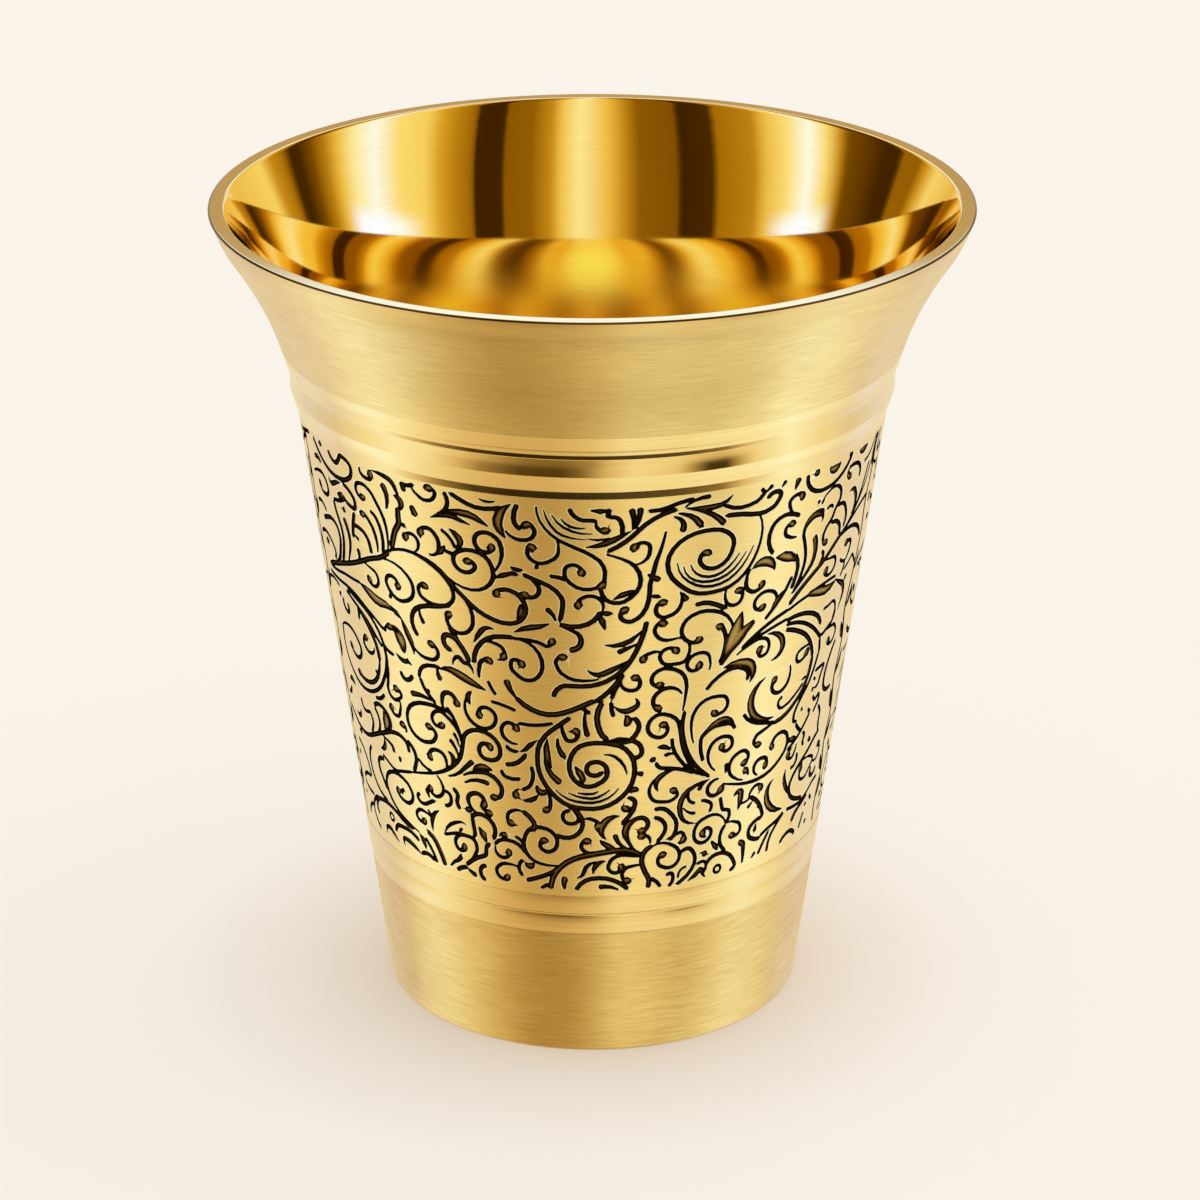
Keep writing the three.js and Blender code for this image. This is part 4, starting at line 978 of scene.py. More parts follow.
    "left lower": """
line .5 -22,51 -19,50.7 -16.2,50.1
curl .65 -26.4,51.6 -28,50.2 -27.8,48.4 -26,47.2 -23.4,46.9 -21.4,47.7 -21.1,49.2 -22.4,49.9
    -24.2,49.8 -24.9,49 -24,48.3
leaf .8 -26.5,49.9 -27.2,51 -26,52
curl .65 -16,45.4 -18,45.5 -19.6,46.4 -19.6,47.6 -18.2,48.3 -16.8,48 -16.6,47
line .6 -19,45 -18,44.4 -16.4,44.3
line .7 -19.6,42.2 -17.8,42.3 -16,42.9 -14.6,44
line .6 -20.4,41.4 -20,40.6 -18.4,40.2 -16,40.4
curl .6 -16.6,38.8 -17.4,38.2 -16.8,37.4
curl .75 -46,37.2 -42,37.8 -38.5,38.4 -35.4,39.2 -32.4,40.5 -30.4,42 -29.6,43.8 -28.8,45.4
    -26.8,46.3 -24,46.4 -21.5,45.6 -20.4,44.2 -21,42.9 -23,42.4 -25,42.8 -25.4,44 -24.2,44.7
    -22.8,44.4 -23.2,43.8
drop .7 -34.5,38.6 -31.5,39.4 -29.2,40.7 -27.2,41.8
curl .7 -29.8,44.6 -30.4,46.4 -32.2,48 -35.2,48.4 -38.4,48.4 -41.4,48 -43.8,47 -44.9,45.4
    -44.2,43.8 -42,42.8 -39.4,42.7 -37.2,43.4 -36.6,44.4 -37.8,45.1 -39.4,44.9
curl .65 -30,44.4 -30.8,46 -32.6,47.2 -35,47.9 -36.6,47.4 -37.2,46.5 -36.4,45.7 -34.8,45.8 -34.6,46.5
drop .8 -36,49.1 -38,49.3 -40.5,49.4 -42.8,49.1
line .6 -39.3,52 -38.4,50.6 -37,49.6 -35.6,48.9
line .6 -38.6,50.4 -36.8,50.4
curl .8 -33.6,48.4 -33.9,49.6 -33,50.8 -31.4,50.9 -30.2,50 -30.2,49.1
line .6 -33,48.8 -31.6,47.8 -30.6,46
line .7 -45,52 -44.2,51 -42.4,51.2 -41.6,52
drop .5 -30.6,43.4 -31,44.6 -31.8,45.3
drop .6 -31,41.8 -31.6,43.2 -33,44.2
leaf .8 -34,42.3 -32.6,41.8 -32.8,40.6 -33.4,40.2
curl .7 -34.8,39.4 -34.4,40.6 -35.2,41.7 -37,42 -38.8,41.5 -39.2,40.7 -38.2,40.6
line .7 -46,41.8 -44.4,41 -43.6,39.6 -44.2,38.4 -45,37.6
line .5 -43,39.8 -41.6,39 -39,38.6
curl .65 -37.8,38.2 -36.6,37.4 -36.2,36.2 -37.2,35.3 -39,35 -40.2,35.8 -39.4,36.3
line .6 -36,36.2 -34.6,36 -34.2,35 -35.2,34.2 -36.4,34.1
line .7 -33.6,37 -32.2,36.2 -32.6,35.2 -31.8,34.1
line .6 -43.6,34.4 -44.8,34 -44.2,33.3 -42.4,33.2 -40.8,33.8 -39.2,34.2
drop .7 -40.8,34.4 -41.6,35.6
curl .65 -41,31.4 -43,32 -45,31.9 -46,31 -45,30.3 -43.6,30.4 -43.8,31
leaf .7 -42,32.6 -40.6,31.5
leaf .8 -38,33 -39.6,32.4 -40.8,31.2 -40.8,29.4
line .9 -43,29.1 -41,28.4 -39.4,26.8 -38.2,24.8
line .6 -44,28 -42.4,26.8 -40.8,24.8
leaf 1 -46,28.2 -44.6,27.2 -44.2,26.2
line .7 -46,25.2 -43.6,25.6 -41.8,25
leaf .6 -37.4,29.6 -36,31 -33.8,31.9 -31.4,32.2 -30.4,31.9
line .5 -32.8,30.7 -31.8,31.4
line .5 -37.4,29.6 -34.6,30.2 -33,30.5
curl .7 -31.6,26 -29.4,27.4 -28.2,28.8 -28.8,30 -31,30.4 -33.4,30 -34.2,28.8 -33.2,28 -31.8,28.3
    -32.4,29
line .7 -31.6,26 -28,27.6 -26,28.2 -25.6,29.4 -24.4,30
drop .7 -36.6,25 -35.4,25.8 -33.8,26.4 -32.8,27.2
line .7 -34.6,24.7 -33,25.4 -31.4,25.6
leaf 1 -31.4,25.4 -30,25 -28.8,24.5
line .7 -25.8,26.5 -27.2,26.3 -27.8,25.4 -27.2,24.6 -26.4,24.4
line .6 -23.4,30 -22,30.8 -19.4,31 -17,30.4 -15.8,29.4
curl .65 -23.2,29.8 -23,28.8 -21.4,28.3 -19.9,28.9 -20.6,29.6
line .6 -16.6,26 -17.6,27.2 -16.4,28.4
curl .65 -17.8,27.2 -20,27.5 -22.2,27.2 -23.4,26.2 -22.6,25.3 -21,25.2 -20.8,26
dot 1.1 -20.8,31.7
curl .8 -27.6,34.3 -29,35 -29.4,36.2 -28,37 -26.2,37 -25.2,36.2 -26,35.2
curl .5 -26.4,35.4 -24.6,34.6 -23.2,34.5
leaf 1.1 -30.6,34.4 -28.8,34.4
line .7 -29,33.4 -27.6,34 -25.4,34 -23.6,33.2 -23,32 -23.8,30.8
line .7 -28.8,33.4 -28.6,32.2 -28.4,31 -28.8,30.5
leaf 1.2 -27.4,32.2 -26.2,31.2 -25.6,30
leaf 1.1 -27.6,40.4 -25,41.2 -22.4,40.8
curl .8 -30,39.4 -27,40.2 -24,40.4 -21.6,39.6 -20.6,38.2 -21.6,37.1 -23.6,37.3
drop .7 -30.2,38.2 -28,38.9 -25.6,39.1 -23.6,38.8
curl .65 -16.2,35.6 -18,35.6 -19.6,34.8 -19.4,33.8 -18,33.6
line .5 -18.4,31.7 -17,31.4 -16.2,30.4
    """,
    "side joins": """
line .6 70.8,24.6 69.9,28 71.4,32 69.8,36.5 71.2,41 69.5,46 71,51 69.2,55.5 71,60.5 72.6,65 71.8,70
    73.2,75 72.6,79.2
leaf 1.2 69.9,28 71.2,29 72.4,31.2
leaf 1.2 71.4,32 69.9,33 68.9,35
leaf 1.2 69.8,36.5 71.4,37.5 72.6,40
leaf 1.2 71.2,41 69.9,42 68.7,44.5
leaf 1.2 69.5,46 71.2,47 72.6,49.5
leaf 1.2 71,51 69.6,52 68.2,54
leaf 1.2 69.2,55.5 70.9,56.3 72.3,58.8
leaf 1 71,60.5 72.6,61 73.8,63
line .6 104,24.6 103.2,28.5 104.8,33 103,37.5 104.6,42 103.2,47 105,52 103.6,57 105,62 103.8,67
    105,72 104.2,79.2
leaf 1.1 103.2,28.5 104.4,29.6 105.4,31.8
leaf 1.1 104.8,33 103.4,34 102.4,36
leaf 1.1 103,37.5 104.4,38.6 105.6,40.8
leaf 1.1 104.6,42 103.2,43.2 102.2,45.4
leaf 1.1 103.2,47 104.6,48 105.6,50.4
leaf 1.1 105,52 103.6,53 102.4,55.4
leaf 1.1 103.6,57 105,58 106,60.2
leaf 1.1 105,62 103.8,63 102.6,65.2
leaf 1.1 103.8,67 105,68 106,70.2
leaf 1.1 105,72 103.9,73 103,75.2
""",
    "front lower": """
line .8 -16,52 -13,50.6 -9,50 -5,50.6 -1.5,51.6 .5,52.2
line .55 -16,48.4 -13,48.3 -8.4,48.8
line .7 -4.5,49.8 -7,48.6 -10,47 -11.6,45.4 -12,43.6 -11.7,41.6 -10.6,40 -8.6,38.4 -5.8,37.1
    -2,36.6 2,36.7 5.8,37.8 8.4,39.6 9.3,41.8 8.6,44 6.6,45.4 3.4,46 0,46.1 -2.8,45.6 -4.7,44
    -5,42.2 -3.8,40.6 -1.4,39.8 1.4,40.2 3.2,41.4 2.8,42.8 1,43.4 -1,42.9 -1,41.8 .6,41.4 2.2,42
hatch .45 -8.4,39.4 -6,38.1 -2.5,37.5 1.5,37.6 4.4,38.5 5.9,39.6
hatch .45 -5.6,38.9 -3,38.3 .5,38.1 2.6,38.7 4,39.4
hatch .45 -3.6,38.9 -1.4,38.7 .4,38.8 1.4,39.2
hatch .5 2.2,44.4 4.2,44.3 6.2,43.4 7.2,42.4 7.6,41.4
leaf 1.1 -4,42.8 -2.8,41.8 -2.2,40.6 -3,40.2
leaf 1 -9.6,46.6 -9.9,44.6 -8.8,42.2
drop .9 -10.2,44.4 -9.8,42.2 -8.2,40.8 -6.8,40.2
drop .8 -7.4,46.8 -7.4,45.6 -6,44
curl .7 -6.2,49.2 -6.2,47.4 -5.2,46.4 -3.6,46.6 -3.2,47.6 -4.4,47.9
drop .7 -1.4,50.9 -1.6,49 -.9,47
line .6 -2.6,51.4 -1,50.6 -.2,50.3
line .8 2.2,52 1,50 1.3,48.4 2.4,47 3.4,46.6
leaf .7 3.4,46.4 6,46.6 8.2,46.6
line .6 4,52 4,51 4.6,49.8
leaf .9 4.6,51.4 6.4,50.6 8.4,50.8 9.6,51.6 8.8,52.4
leaf 1.1 6.8,50 7.4,48.8 6.6,48.4
line .7 8.6,49.6 9.9,48.6 9.4,47.2 8,46.4
line .7 3,46 6,46 9,46.2 10.6,45.2 10.6,44.2 9,43.8 8.4,44
drop .8 9.4,41.6 11.4,41.3
leaf .9 8.6,38.6 9.4,39.2 10.4,38.8
line .7 8,38 9.4,37.6 9.4,36.4 8.2,35.2 6.6,34.2
curl .6 9.4,37 8,36.3 7,37
leaf 1.1 6.4,35.4 4.2,35.2 2.4,34.2 2,33 3.4,32
curl .8 10.5,29.9 8.6,31.2 7.8,32.6 8.4,34 10.2,34.9 12,34.8 12.8,34 12,33.1 10.4,33.2
leaf 1 8,31.5 7.4,33 8.6,34.4 10.4,34.8
drop .7 8.4,30.5 6.4,31.2 5.2,32.8
leaf 1 5.8,30.5 3.6,31 1.6,32
curl .7 .2,30.2 -1.6,30.2 -2.6,31 -1.6,31.8 -.4,31.4
line .9 11.4,29.4 8,30.3 4,30.2 0,29.8 -4,29.2 -7.2,28 -9.2,26.4 -10,24.4
line .7 -7.4,28 -10,26.8 -13,26 -16,25.4
leaf .9 -12.6,24.4 -10.4,25.2
drop 1 -6.4,24.5 -6.8,25.4 -6.2,26.4
leaf .7 -4,26.2 -2.6,26.6 -1.4,28 1,28.8
leaf .8 .2,26.8 .6,28 3.2,28.8
line .7 -4,24.4 -2,25.8 1.5,26.3 5.4,25.8 8.6,24.4
drop .7 6.4,24.4 3.6,25 1.4,24.9
curl .65 11.4,29.2 9,29.4 6.4,29.6 4.2,28.8 3.8,27.6 5.4,27 6.8,27.6 6.2,28.3
curl .65 11.6,28 9.6,27.9 7.8,27.6 7,26.6 7.8,25.8 9.2,26
line .8 14,30.6 12.4,30 11.6,28.6 12.4,27 13.6,25.4 13.2,24.4
curl .6 13.4,31 12.6,32.2 11.4,32.2 10.8,31.7
line .6 -13.6,42.4 -13.2,40.6 -14.4,39.2 -16,38.8
leaf 1 -12.2,39.8 -11.2,38.6 -10,39.4
curl .7 -10,38.6 -9.4,37.2 -10,36.2 -11.4,36.4
leaf .8 -12,38.4 -13.8,37.4 -16,37.3
leaf .8 -11.8,46.2 -13.2,45.6 -14.8,44.6 -16,44.3
line .7 -4.6,36.6 -2.8,35.6 -2.2,34.2 -3.4,32.8 -5.8,32.2 -8.2,32.6
line .6 -4,36 -3.2,34.8 -4.6,34.3 -6.4,34.7 -6.4,35.9 -5,36.2
curl .65 -2,35 0,35 1.4,34.2 .4,33.6
line .8 -16,35.6 -14.4,34.9 -13.4,34 -13.8,32.8
leaf 1 -16,28.2 -14.6,27.6 -13.8,28.2
curl .7 -7,28.1 -11,28 -14.2,28.6 -15.9,30 -15.8,31.8 -14.2,33.2 -11.6,33.5 -9.2,32.9 -8.1,31.6
    -8.8,30.4 -10.8,30 -12.2,30.8 -11.4,31.6 -10.4,31.2
    """,
    "far left upper": """
line .7 -61,79.4 -60.4,78.6 -58.4,78.1 -57,78.8 -56.4,79.4 -54.6,79.4 -53,78.8 -53,77.6 -54.6,76.6
    -57.6,76.1 -61,76.2 -64.2,77 -67,78.4 -68.6,79.4
leaf 1 -65.6,79.2 -63.8,79.4
curl .7 -49.6,79.4 -49.8,78.8 -48.4,78.1 -46.6,78.4 -47.4,79.2
curl .65 -44.2,69 -43.8,71 -44.4,73.4 -46,75.2 -47.4,76.4 -49.6,77 -51.6,76.6 -51.9,75.6 -50.4,75
    -49.6,75.6
line .6 -48.4,73.6 -47,73.2 -46,72.2 -45.4,70.6 -45.8,68.4
curl .7 -47.4,68.2 -47.4,70 -48.6,71.8 -50.6,72.7 -51.6,72.2
leaf .8 -63,75.4 -62,74.6 -60,75.1 -57.6,75.5
line .7 -57,75.6 -54.4,75 -53,73.8 -53.4,72.9 -55,72.9 -56.6,73.4
line .7 -59.4,74 -58.4,73.2 -57,73.4
dot 1.1 -58,73.7
line .6 -62,72.4 -60,72.6 -58,73
line .7 -62,72.2 -61.6,70.8 -60.4,69.2 -60,67.6 -60.6,65.8 -62,63.8
dot .9 -57.8,71.8
drop .8 -59.2,64.4 -58.2,65.6 -57.2,67.4 -57.4,69 -58.6,70.6
line .7 -55.6,68.4 -55,70.2 -53.8,72.2
drop .6 -55,69 -53.4,68.5
line .7 -55.2,70.3 -53,70.4 -51,69.9 -49.8,68.6 -49.8,67.4
drop .8 -54.8,65.4 -54.2,66.4 -54.6,67.2
line .75 -71,61.4 -69,62 -66,62.6 -62.4,63.4 -58,64.4 -54,65.5 -50,66.7 -47,67.4 -44,68.8
line .6 -72.4,69.9 -69.4,70.3 -67.4,69.4
line .7 -70,68 -67,68.8 -65,69.1 -62.6,68.6 -61.7,67.2 -62.4,65.4 -63.4,64 -66,62.6
line .6 -74,65.2 -71.6,66 -69,66 -66.6,65.2 -65.6,64.2 -66.6,63.2
dot 1.2 -70,64.8
line .8 -69.4,76.4 -68,76.9 -66,76.3
curl .7 -72,74 -69,74.8 -66,74.9 -64.4,74 -64.4,72.6 -66.4,72.1 -68.4,72.6 -68,73.6
curl .6 -53,65.6 -51,65.3 -49,64.8 -48.6,63.6 -50,62.8 -51.6,63.2 -51,64
line .5 -70,61.4 -66,61.6 -62,62 -58,62.1 -55.5,62.2
leaf 1.6 -56,62.2 -53,61.6 -50,60.9 -47,60.8 -44.4,60.2
line .55 -72,60.4 -66,60.3 -61,60.3 -57.5,59.8 -54.6,58.9 -51.6,58 -49.6,57.2 -48,57
line .6 -62,60 -58.5,59.4 -55,58.6 -52.4,57.4 -50.6,56 -49.6,54.6 -46.6,53.9
line .6 -63,59.6 -60,58.8 -57,57.9 -54,56.6 -52,55.2 -50.4,54.3
line .8 -57.4,57.8 -55.6,56.8 -53.6,55.2 -52.4,53.6 -52.2,52
line .6 -58.4,58.4 -58.2,57.4 -58.6,56.4
line .6 -49.8,54.5 -49.4,53 -49.5,52
curl .6 -48.6,57.2 -47,57.8 -46,57.6
curl .7 -53.6,53.4 -55,52.4 -57,52.6 -57.8,53.6 -56.8,54.3 -56,53.8
line .5 -74,59 -70,59.7 -66.6,59.2
drop .8 -66.4,58.6 -67.6,57.8
line .7 -65.4,58 -65.2,56.6 -63.4,56.4 -63.6,57.6
    """,
    "far left lower": """
line .6 -69,53.4 -69.5,52 -69.4,50 -67.8,48.2 -65.4,46.9 -62.4,46.2 -59,46.2 -55.8,46.9 -53,48.2
    -51.4,49.6 -50.2,51 -49.6,52.6
curl .7 -69,53.4 -66.6,54.1 -63.4,54.1 -61,53.2 -59.8,51.8 -60.8,50.6 -62.8,50.3 -64.6,51 -64.9,52
curl .8 -52.2,52.4 -52.6,51 -53.8,49.4 -55.8,48.2 -58.6,47.6 -61.6,47.8 -63.2,48.5
line .6 -54.8,50 -53.6,50
line .6 -56.4,45.9 -54,46.2 -52.2,47.2
line .6 -49.4,52 -49.8,50 -50.4,48.4 -49.6,47.4 -48,47.2 -46.6,47.8
curl .7 -46.6,47.6 -46,48.4 -47,48.9 -48.4,48.6
curl .65 -46.8,47.4 -47,45.8 -48,44.9 -49.6,45 -50.2,45.7 -49.2,46
curl .6 -46.2,42.8 -46.4,43.9 -47.6,43.5
line .7 -74,41.2 -70.6,39.8 -67,38.9 -63.6,38.9 -60.4,39.6 -57.6,40.4 -54.4,41.2 -51,42 -48,42
    -46.4,41.4 -46,40
line .7 -57.6,44.3 -56.2,45 -54,45 -52,44.2 -51.4,43 -52.6,42
leaf 1.6 -54.4,41.6 -53.2,43 -54,44.4
line .6 -57.6,44.2 -56.2,43 -56.4,41.4 -57.4,40.6
line .6 -64,44.2 -63.6,42.8 -62,42.6 -60.4,42.9 -59.4,42 -60,40.6 -60.8,39.9
leaf 1 -70.4,45.2 -68,45.7 -66.8,45
leaf .8 -73.6,42.9 -71,43.6 -70,44.6
leaf .8 -69,41.3 -66.6,41 -66,42.2
leaf .9 -57.6,38.4 -55.6,38.8 -55.2,40.4
drop .7 -55.4,40.5 -53.4,40.2 -51.8,39.6 -51.8,38.8
drop .8 -49.6,37.8 -49.6,38.8
line .5 -57,37.6 -55,37 -52,36.3 -49,36.7 -46,37.2
line .7 -56.4,36.8 -58,36.8 -59.4,36.2 -59.6,35 -58.4,33.6 -57.2,32.4
curl .7 -46,28.4 -50,29.2 -53.6,30.2 -56.2,31.8 -57,33.6 -55.8,35 -53.2,35.8 -50,35.7 -47.4,34.8
    -46.6,33.4 -48,32.3 -50.4,32.2 -52.2,33 -51.6,33.8
line .6 -50.6,33 -50,33.8 -49.2,33.8
line .6 -62.4,37.6 -64.2,36.2 -64.6,34.6 -63.6,32.8 -61,31.2 -58,30.6
line .7 -64,27.2 -64.8,28.2 -63.4,29.6 -60.6,30.1 -57,30.1 -54,29.6 -51,28.8 -48,28.6
line .6 -63,30 -66,29 -67.6,27.4 -66.8,26 -64.4,25
ring .45 -57,28.4
line .7 -56,26.4 -54.8,27.6 -52,27.9 -49,27.8 -46.4,27
leaf .8 -60.6,25 -60.8,26 -58.8,26.4 -56.6,25.6 -54.8,25
leaf .9 -52.2,25 -52.8,26 -50.6,26.2 -48.4,25.8 -46,25
leaf .9 -69.4,38 -68.4,38.3 -67.4,38
line .6 -72,36.6 -69,36 -66.6,34.2 -65.8,32.4
leaf .9 -73.4,34 -71.8,34.8
line .6 -71.8,31 -69.6,32 -66,32.2
line .6 -72,30.6 -69,29.8 -66,29.7
leaf .8 -73.4,28.4 -72,28.8
line .6 -71.8,25.6 -70.6,27 -68,27.8
    """,
}

engravedSleeve = {
    "bottom": 22.375, "top": 82.3,
    "tile": 180,            # degrees that the strokes fill before they repeat
    "sidePanel": 90,        # degrees to the sides, where the front strokes come again
    "wrapFrom": 0.45,       # share of the tile past which a stroke comes in again at its other side
    "unrollRadius": 33.9,   # radius at which a degree is unrolled to mm
    "widths": 0.98,         # share of the written widths
    "paintedHalo": 0.12,      # mm of painted highlight, a bright edge, on both sides of a cut
    "handle": 0.35,         # how roundly a stroke passes its points, as a share of their distance
    "sampling": 0.1, "fewestSamples": 4,  # mm between the samples of a stroke, and the fewest of them
    "longestStep": 1.0, "shortestStep": 0.2, "mostTurn": 0.28,  # steps along a stroke, mm and radians
    "ballEnds": 1.1, "plainEnds": 0.4,  # mm at the ends of curls and of other strokes with short steps
    "smallestFace": 0.0002,  # square mm
    "flatStep": 1.8,        # spacing of the points between the strokes
    "clearOfCuts": 0.4,     # and how far they stay off the cuts
    "mergeNear": 0.0005,    # mm under which two points of the tile are one
    "edgeSlack": 0.015,     # a triangle whose middle is this far inside a cut belongs to it
    "depthShare": 0.3, "deepest": 0.2,  # depth of a cut per mm from its edge, and at most
    "weldSeams": 0.002,     # mm
}
# how the strokes swell and thin out, as shares of their widths unless it says mm
strokeShapes = {
    "tail": 0.45, "tailLength": 0.3,  # a curl's thin start, and the share of its length where that ends
    "neck": 0.9, "ball": 0.58,        # before the ball at a curl's end, and the ball's radius in mm
    "leafPower": 0.8,                 # how full a leaf is between its points
    "hatchEnds": 0.3,
    "dropStart": 0.35, "dropSwell": 0.85, "dropPower": 0.8,
    "ring": 0.55, "ringSteps": 40,    # a ring's radius in mm
}
mmPerDegree = math.radians(1) * engravedSleeve["unrollRadius"]


def readStrokes(text):
    strokes = []
    for line in text.strip().splitlines():
        words = line.split()
        if "," not in words[0]:
            strokes.append((words[0], float(words[1]) * engravedSleeve["widths"], []))
            words = words[2:]
        for word in words:
            degrees, height = word.split(",")
            strokes[-1][2].append(Vector((float(degrees) * mmPerDegree, float(height))))
    return strokes


def smoothPath(points):
    # a smooth curve through the points, sampled about every tenth of a mm
    steps = [b - a for a, b in zip(points, points[1:])]
    headings = []
    for before, after in zip(steps, steps[1:]):
        bend = before.normalized() * after.length + after.normalized() * before.length
        headings.append(bend.normalized())
    if not headings:
        headings = [steps[0].normalized()]
    first, last = steps[0].normalized(), steps[-1].normalized()
    headings.insert(0, 2 * first.dot(headings[0]) * first - headings[0])
    if len(headings) < len(points):
        headings.append(2 * last.dot(headings[-1]) * last - headings[-1])
    path = []
    for i, step in enumerate(steps):
        a, b = points[i], points[i + 1]
        handle = engravedSleeve["handle"] * step.length
        leave, arrive = a + headings[i] * handle, b - headings[i + 1] * handle
        count = max(engravedSleeve["fewestSamples"], int(step.length / engravedSleeve["sampling"]))
        path.extend(interpolate_bezier(a, leave, arrive, b, count)[:-1])
    return path + [points[-1]]


def halfWidth(kind, width, along, total):
    # half the width of the cut at a distance along the stroke
    half, share, left = width / 2, along / total, total - along
    if kind == "curl":  # a thin tail that swells and ends in a ball
        tail, ball = strokeShapes["tail"], strokeShapes["ball"]
        half *= tail + (1 - tail) * min(1, share / strokeShapes["tailLength"])
        swell = math.sqrt(max(0, ball ** 2 - (left - ball) ** 2))
        return max(swell, half * strokeShapes["neck"] if left > ball else 0)
    if kind == "leaf":  # pointed at both ends
        return half * math.sin(math.pi * share) ** strokeShapes["leafPower"]
    if kind == "hatch":
        ends = strokeShapes["hatchEnds"]
        return half * (ends + (1 - ends) * math.sin(math.pi * share))
    if kind == "drop":  # a thin start and a thick round end
        half *= strokeShapes["dropStart"] + strokeShapes["dropSwell"] * share ** strokeShapes["dropPower"]
    ends = half if kind == "line" else 0.0
    if left < half:
        half = math.sqrt(max(0, half ** 2 - (half - left) ** 2))
    if along < ends:
        half = min(half, math.sqrt(max(0, ends ** 2 - (ends - along) ** 2)))
    return half


def strokeSections(kind, width, points):
    # (middle, sideways, half width) where the stroke is cut across, closer in its bends and at its ends
    if kind == "dot":
        side = Vector((width / 2, 0))
        path = smoothPath([points[0] - side, points[0] + side])
    elif kind == "ring":
        angles = [2 * math.pi * share for share in shares(strokeShapes["ringSteps"])]
        path = [points[0] + strokeShapes["ring"] * Vector((math.cos(a), math.sin(a))) for a in angles]
    else:
        path = smoothPath(points)
    alongs = [0.0]
    for a, b in zip(path, path[1:]):
        alongs.append(alongs[-1] + (b - a).length)
    total = alongs[-1]
    fineEnds = engravedSleeve["ballEnds" if kind == "curl" else "plainEnds"]
    sections = []
    lastAlong, lastHeading = -1.0, None
    for i, middle in enumerate(path):
        heading = (path[min(i + 1, len(path) - 1)] - path[max(i - 1, 0)]).normalized()
        gone = alongs[i] - lastAlong
        nearEnd = min(alongs[i], total - alongs[i]) < fineEnds
        turn = abs(heading.angle_signed(lastHeading)) if lastHeading else math.pi
        wanted = turn > engravedSleeve["mostTurn"] or gone > engravedSleeve["longestStep"] or nearEnd
        if i in (0, len(path) - 1) or (wanted and gone > engravedSleeve["shortestStep"]):
            if kind == "dot":
                half = math.sqrt(max(0, (width / 2) ** 2 - (alongs[i] - width / 2) ** 2))
            elif kind == "ring":
                half = width / 2
            else:
                half = halfWidth(kind, width, alongs[i], total)
            sections.append((middle, Vector((-heading.y, heading.x)), half + engravedSleeve["paintedHalo"]))
            lastAlong, lastHeading = alongs[i], heading
    return sections


# the strokes of one tile: the read ones, and the front ones again at the sides, where they close the gap
tileMm = engravedSleeve["tile"] * mmPerDegree
sideShift = Vector((engravedSleeve["sidePanel"] * mmPerDegree, 0))
strokes = []
for zone, text in scrollwork.items():
    for kind, width, points in readStrokes(text):
        strokes.append((kind, width, points))
        if zone.startswith("front"):
            strokes.append((kind, width, [point + sideShift for point in points]))
for kind, width, points in list(strokes):
    if max(point.x for point in points) > engravedSleeve["wrapFrom"] * tileMm:
        strokes.append((kind, width, [point - Vector((tileMm, 0)) for point in points]))
print("strokes in a tile", len(strokes))

corners, cutFaces, spine = [], [], []
for kind, width, points in strokes:
    sections = strokeSections(kind, width, points)
    base = len(corners)
    for middle, sideways, half in sections:
        corners.extend([middle + sideways * half, middle, middle - sideways * half])
    for i, (start, end) in enumerate(zip(sections, sections[1:])):
        spine.append((start[0], end[0], start[2], end[2]))
        k = base + 3 * i
        for side in (k, k + 1):
            for face in ((side, side + 1, side + 4), (side, side + 4, side + 3)):
                a, b, c = [corners[n] for n in face]
                area = (b - a).cross(c - a) / 2
                if abs(area) > engravedSleeve["smallestFace"]:
                    cutFaces.append(face if area > 0 else face[::-1])

spineTree = kdtree.KDTree(len(spine))
for i, (start, end, startHalf, endHalf) in enumerate(spine):
    spineTree.insert((*((start + end) / 2), 0), i)
spineTree.balance()
searchReach = max(max(stretch[2:]) for stretch in spine) + engravedSleeve["longestStep"]


def reachAt(point):
    # how far a point is inside the nearest cut, in mm; below zero outside
    deepest = -math.inf
    for _, i, _ in spineTree.find_range((*point, 0), searchReach):
        start, end, startHalf, endHalf = spine[i]
        step = end - start
        share = min(1, max(0, (point - start).dot(step) / step.length_squared))
        half = startHalf + share * (endHalf - startHalf)
        deepest = max(deepest, half - (point - start - share * step).length)
    return deepest


# points of the flat metal between the cuts, and the straight sides of the tile
left, right = -tileMm / 2, tileMm / 2
low, high = engravedSleeve["bottom"], engravedSleeve["top"]
columns = round(tileMm / engravedSleeve["flatStep"])
rows = round((high - low) / engravedSleeve["flatStep"])
frameEdges, leftSide, rightSide = [], [], []
for row in range(rows + 1):
    height = low + (high - low) * row / rows
    inRow = []
    for column in range(columns + 1):
        onFrame = column in (0, columns) or row in (0, rows)
        point = Vector((left + tileMm * column / columns, height))
        if onFrame or reachAt(point) < -engravedSleeve["clearOfCuts"]:
            corners.append(point)
            if onFrame:
                inRow.append(len(corners) - 1)
    if row in (0, rows):
        frameEdges.extend(zip(inRow, inRow[1:]))
    leftSide.append(inRow[0])
    rightSide.append(inRow[-1])
for side in (leftSide, rightSide):
    frameEdges.extend(zip(side, side[1:]))

allTriangles = 0  # what the triangulation gives back
flat = delaunay_2d_cdt(corners, frameEdges, cutFaces, allTriangles, engravedSleeve["mergeNear"])
flatVerts, flatFaces = flat[0], flat[2]
print("tile triangles", len(flatFaces))

cuts, sheet = [], []
for face in flatFaces:
    middle = sum((flatVerts[i] for i in face), Vector((0, 0))) / 3
    if left < middle.x < right and low < middle.y < high:
        (cuts if reachAt(middle) > engravedSleeve["edgeSlack"] else sheet).append(face)
print("cut triangles", len(cuts), "sheet triangles", len(sheet))
onSheet = {i for face in sheet for i in face}

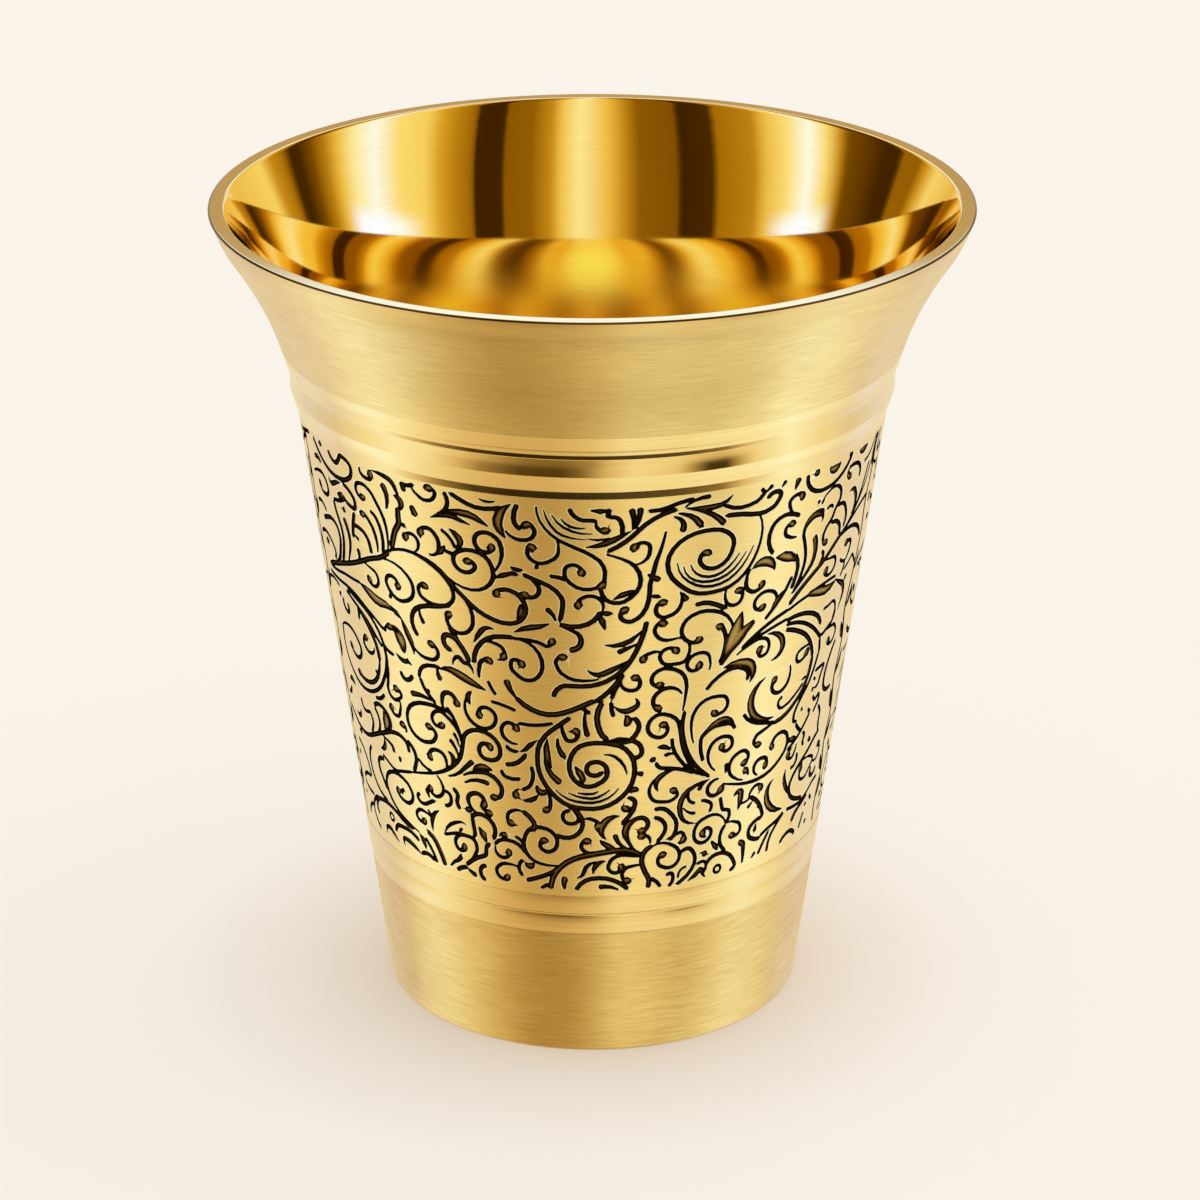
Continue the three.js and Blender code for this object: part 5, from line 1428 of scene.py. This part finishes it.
bm = bmesh.new()
reachLayer = bm.verts.layers.float.new("reach")
made = {}
for i in {i for face in cuts + sheet for i in face}:
    point = flatVerts[i]
    inside = 0.0 if i in onSheet else max(0.0, reachAt(point))
    depth = min(engravedSleeve["deepest"], inside * engravedSleeve["depthShare"])
    radius = (wallRadius(point.y) - depth) * mm
    angle = point.x / engravedSleeve["unrollRadius"]
    made[i] = bm.verts.new((radius * math.sin(angle), -radius * math.cos(angle), point.y * mm))
    made[i][reachLayer] = inside
for faces, slotIndex in ((sheet, 0), (cuts, 1)):
    for face in faces:
        bm.faces.new([made[i] for i in face]).material_index = slotIndex

# the same tile again behind, the seams welded, and the sheet's edges and inner side closed
again = bmesh.ops.duplicate(bm, geom=bm.verts[:] + bm.edges[:] + bm.faces[:])["geom"]
bmesh.ops.rotate(bm, verts=[part for part in again if isinstance(part, bmesh.types.BMVert)], cent=(0, 0, 0),
                 matrix=Matrix.Rotation(math.radians(engravedSleeve["tile"]), 3, "Z"))
bmesh.ops.remove_doubles(bm, verts=bm.verts, dist=engravedSleeve["weldSeams"] * mm)
outerFaces = len(bm.faces)
openEdges = [edge for edge in bm.edges if edge.is_boundary]
print("open edges", len(openEdges), "faces", outerFaces)
inner = bmesh.ops.extrude_edge_only(bm, edges=openEdges)["geom"]
innerVerts = [part for part in inner if isinstance(part, bmesh.types.BMVert)]
for vert in innerVerts:
    share = 1 - wall["sheet"] * mm / vert.co.xy.length
    vert.co.x *= share
    vert.co.y *= share
halfHeight = (low + high) / 2 * mm


def innerRing(isTop):
    # the corners of one end of the inner side, with their angles, once round and back to the first
    ring = sorted((math.atan2(vert.co.x, -vert.co.y), i) for i, vert in enumerate(innerVerts)
                  if (vert.co.z > halfHeight) == isTop)
    return ring + [(ring[0][0] + 2 * math.pi, ring[0][1])]


# the inner side is zipped up between its two ends, always from the end whose next corner comes first
upperRing, lowerRing = innerRing(True), innerRing(False)
i = j = 0
while i < len(upperRing) - 1 or j < len(lowerRing) - 1:
    upperNext = upperRing[i + 1][0] if i < len(upperRing) - 1 else math.inf
    lowerNext = lowerRing[j + 1][0] if j < len(lowerRing) - 1 else math.inf
    here = [innerVerts[upperRing[i][1]], innerVerts[lowerRing[j][1]]]
    if upperNext <= lowerNext:
        i += 1
        here.append(innerVerts[upperRing[i][1]])
    else:
        j += 1
        here.append(innerVerts[lowerRing[j][1]])
    bm.faces.new(here)
sleeve = newPiece("engraved_sleeve_cut", bm, [finishes["engravedSheetBrass"], patina])
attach(sleeve, "root")
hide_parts("engraved_sleeve")

# the metal between the cuts keeps the cone's own normals, so that it shines as one smooth surface
mesh = sleeve.data
lean = Vector((1, -coneSlope)).normalized()
normals = [(0, 0, 0)] * len(mesh.loops)
for polygon in mesh.polygons:
    if polygon.index < outerFaces and polygon.material_index == 0:
        for loop in polygon.loop_indices:
            around = mesh.vertices[mesh.loops[loop].vertex_index].co.xy.normalized()
            normals[loop] = (around.x * lean.x, around.y * lean.x, lean.y)
mesh.normals_split_custom_set(normals)
print("sleeve triangles", sum(len(polygon.vertices) - 2 for polygon in mesh.polygons))

print("done")
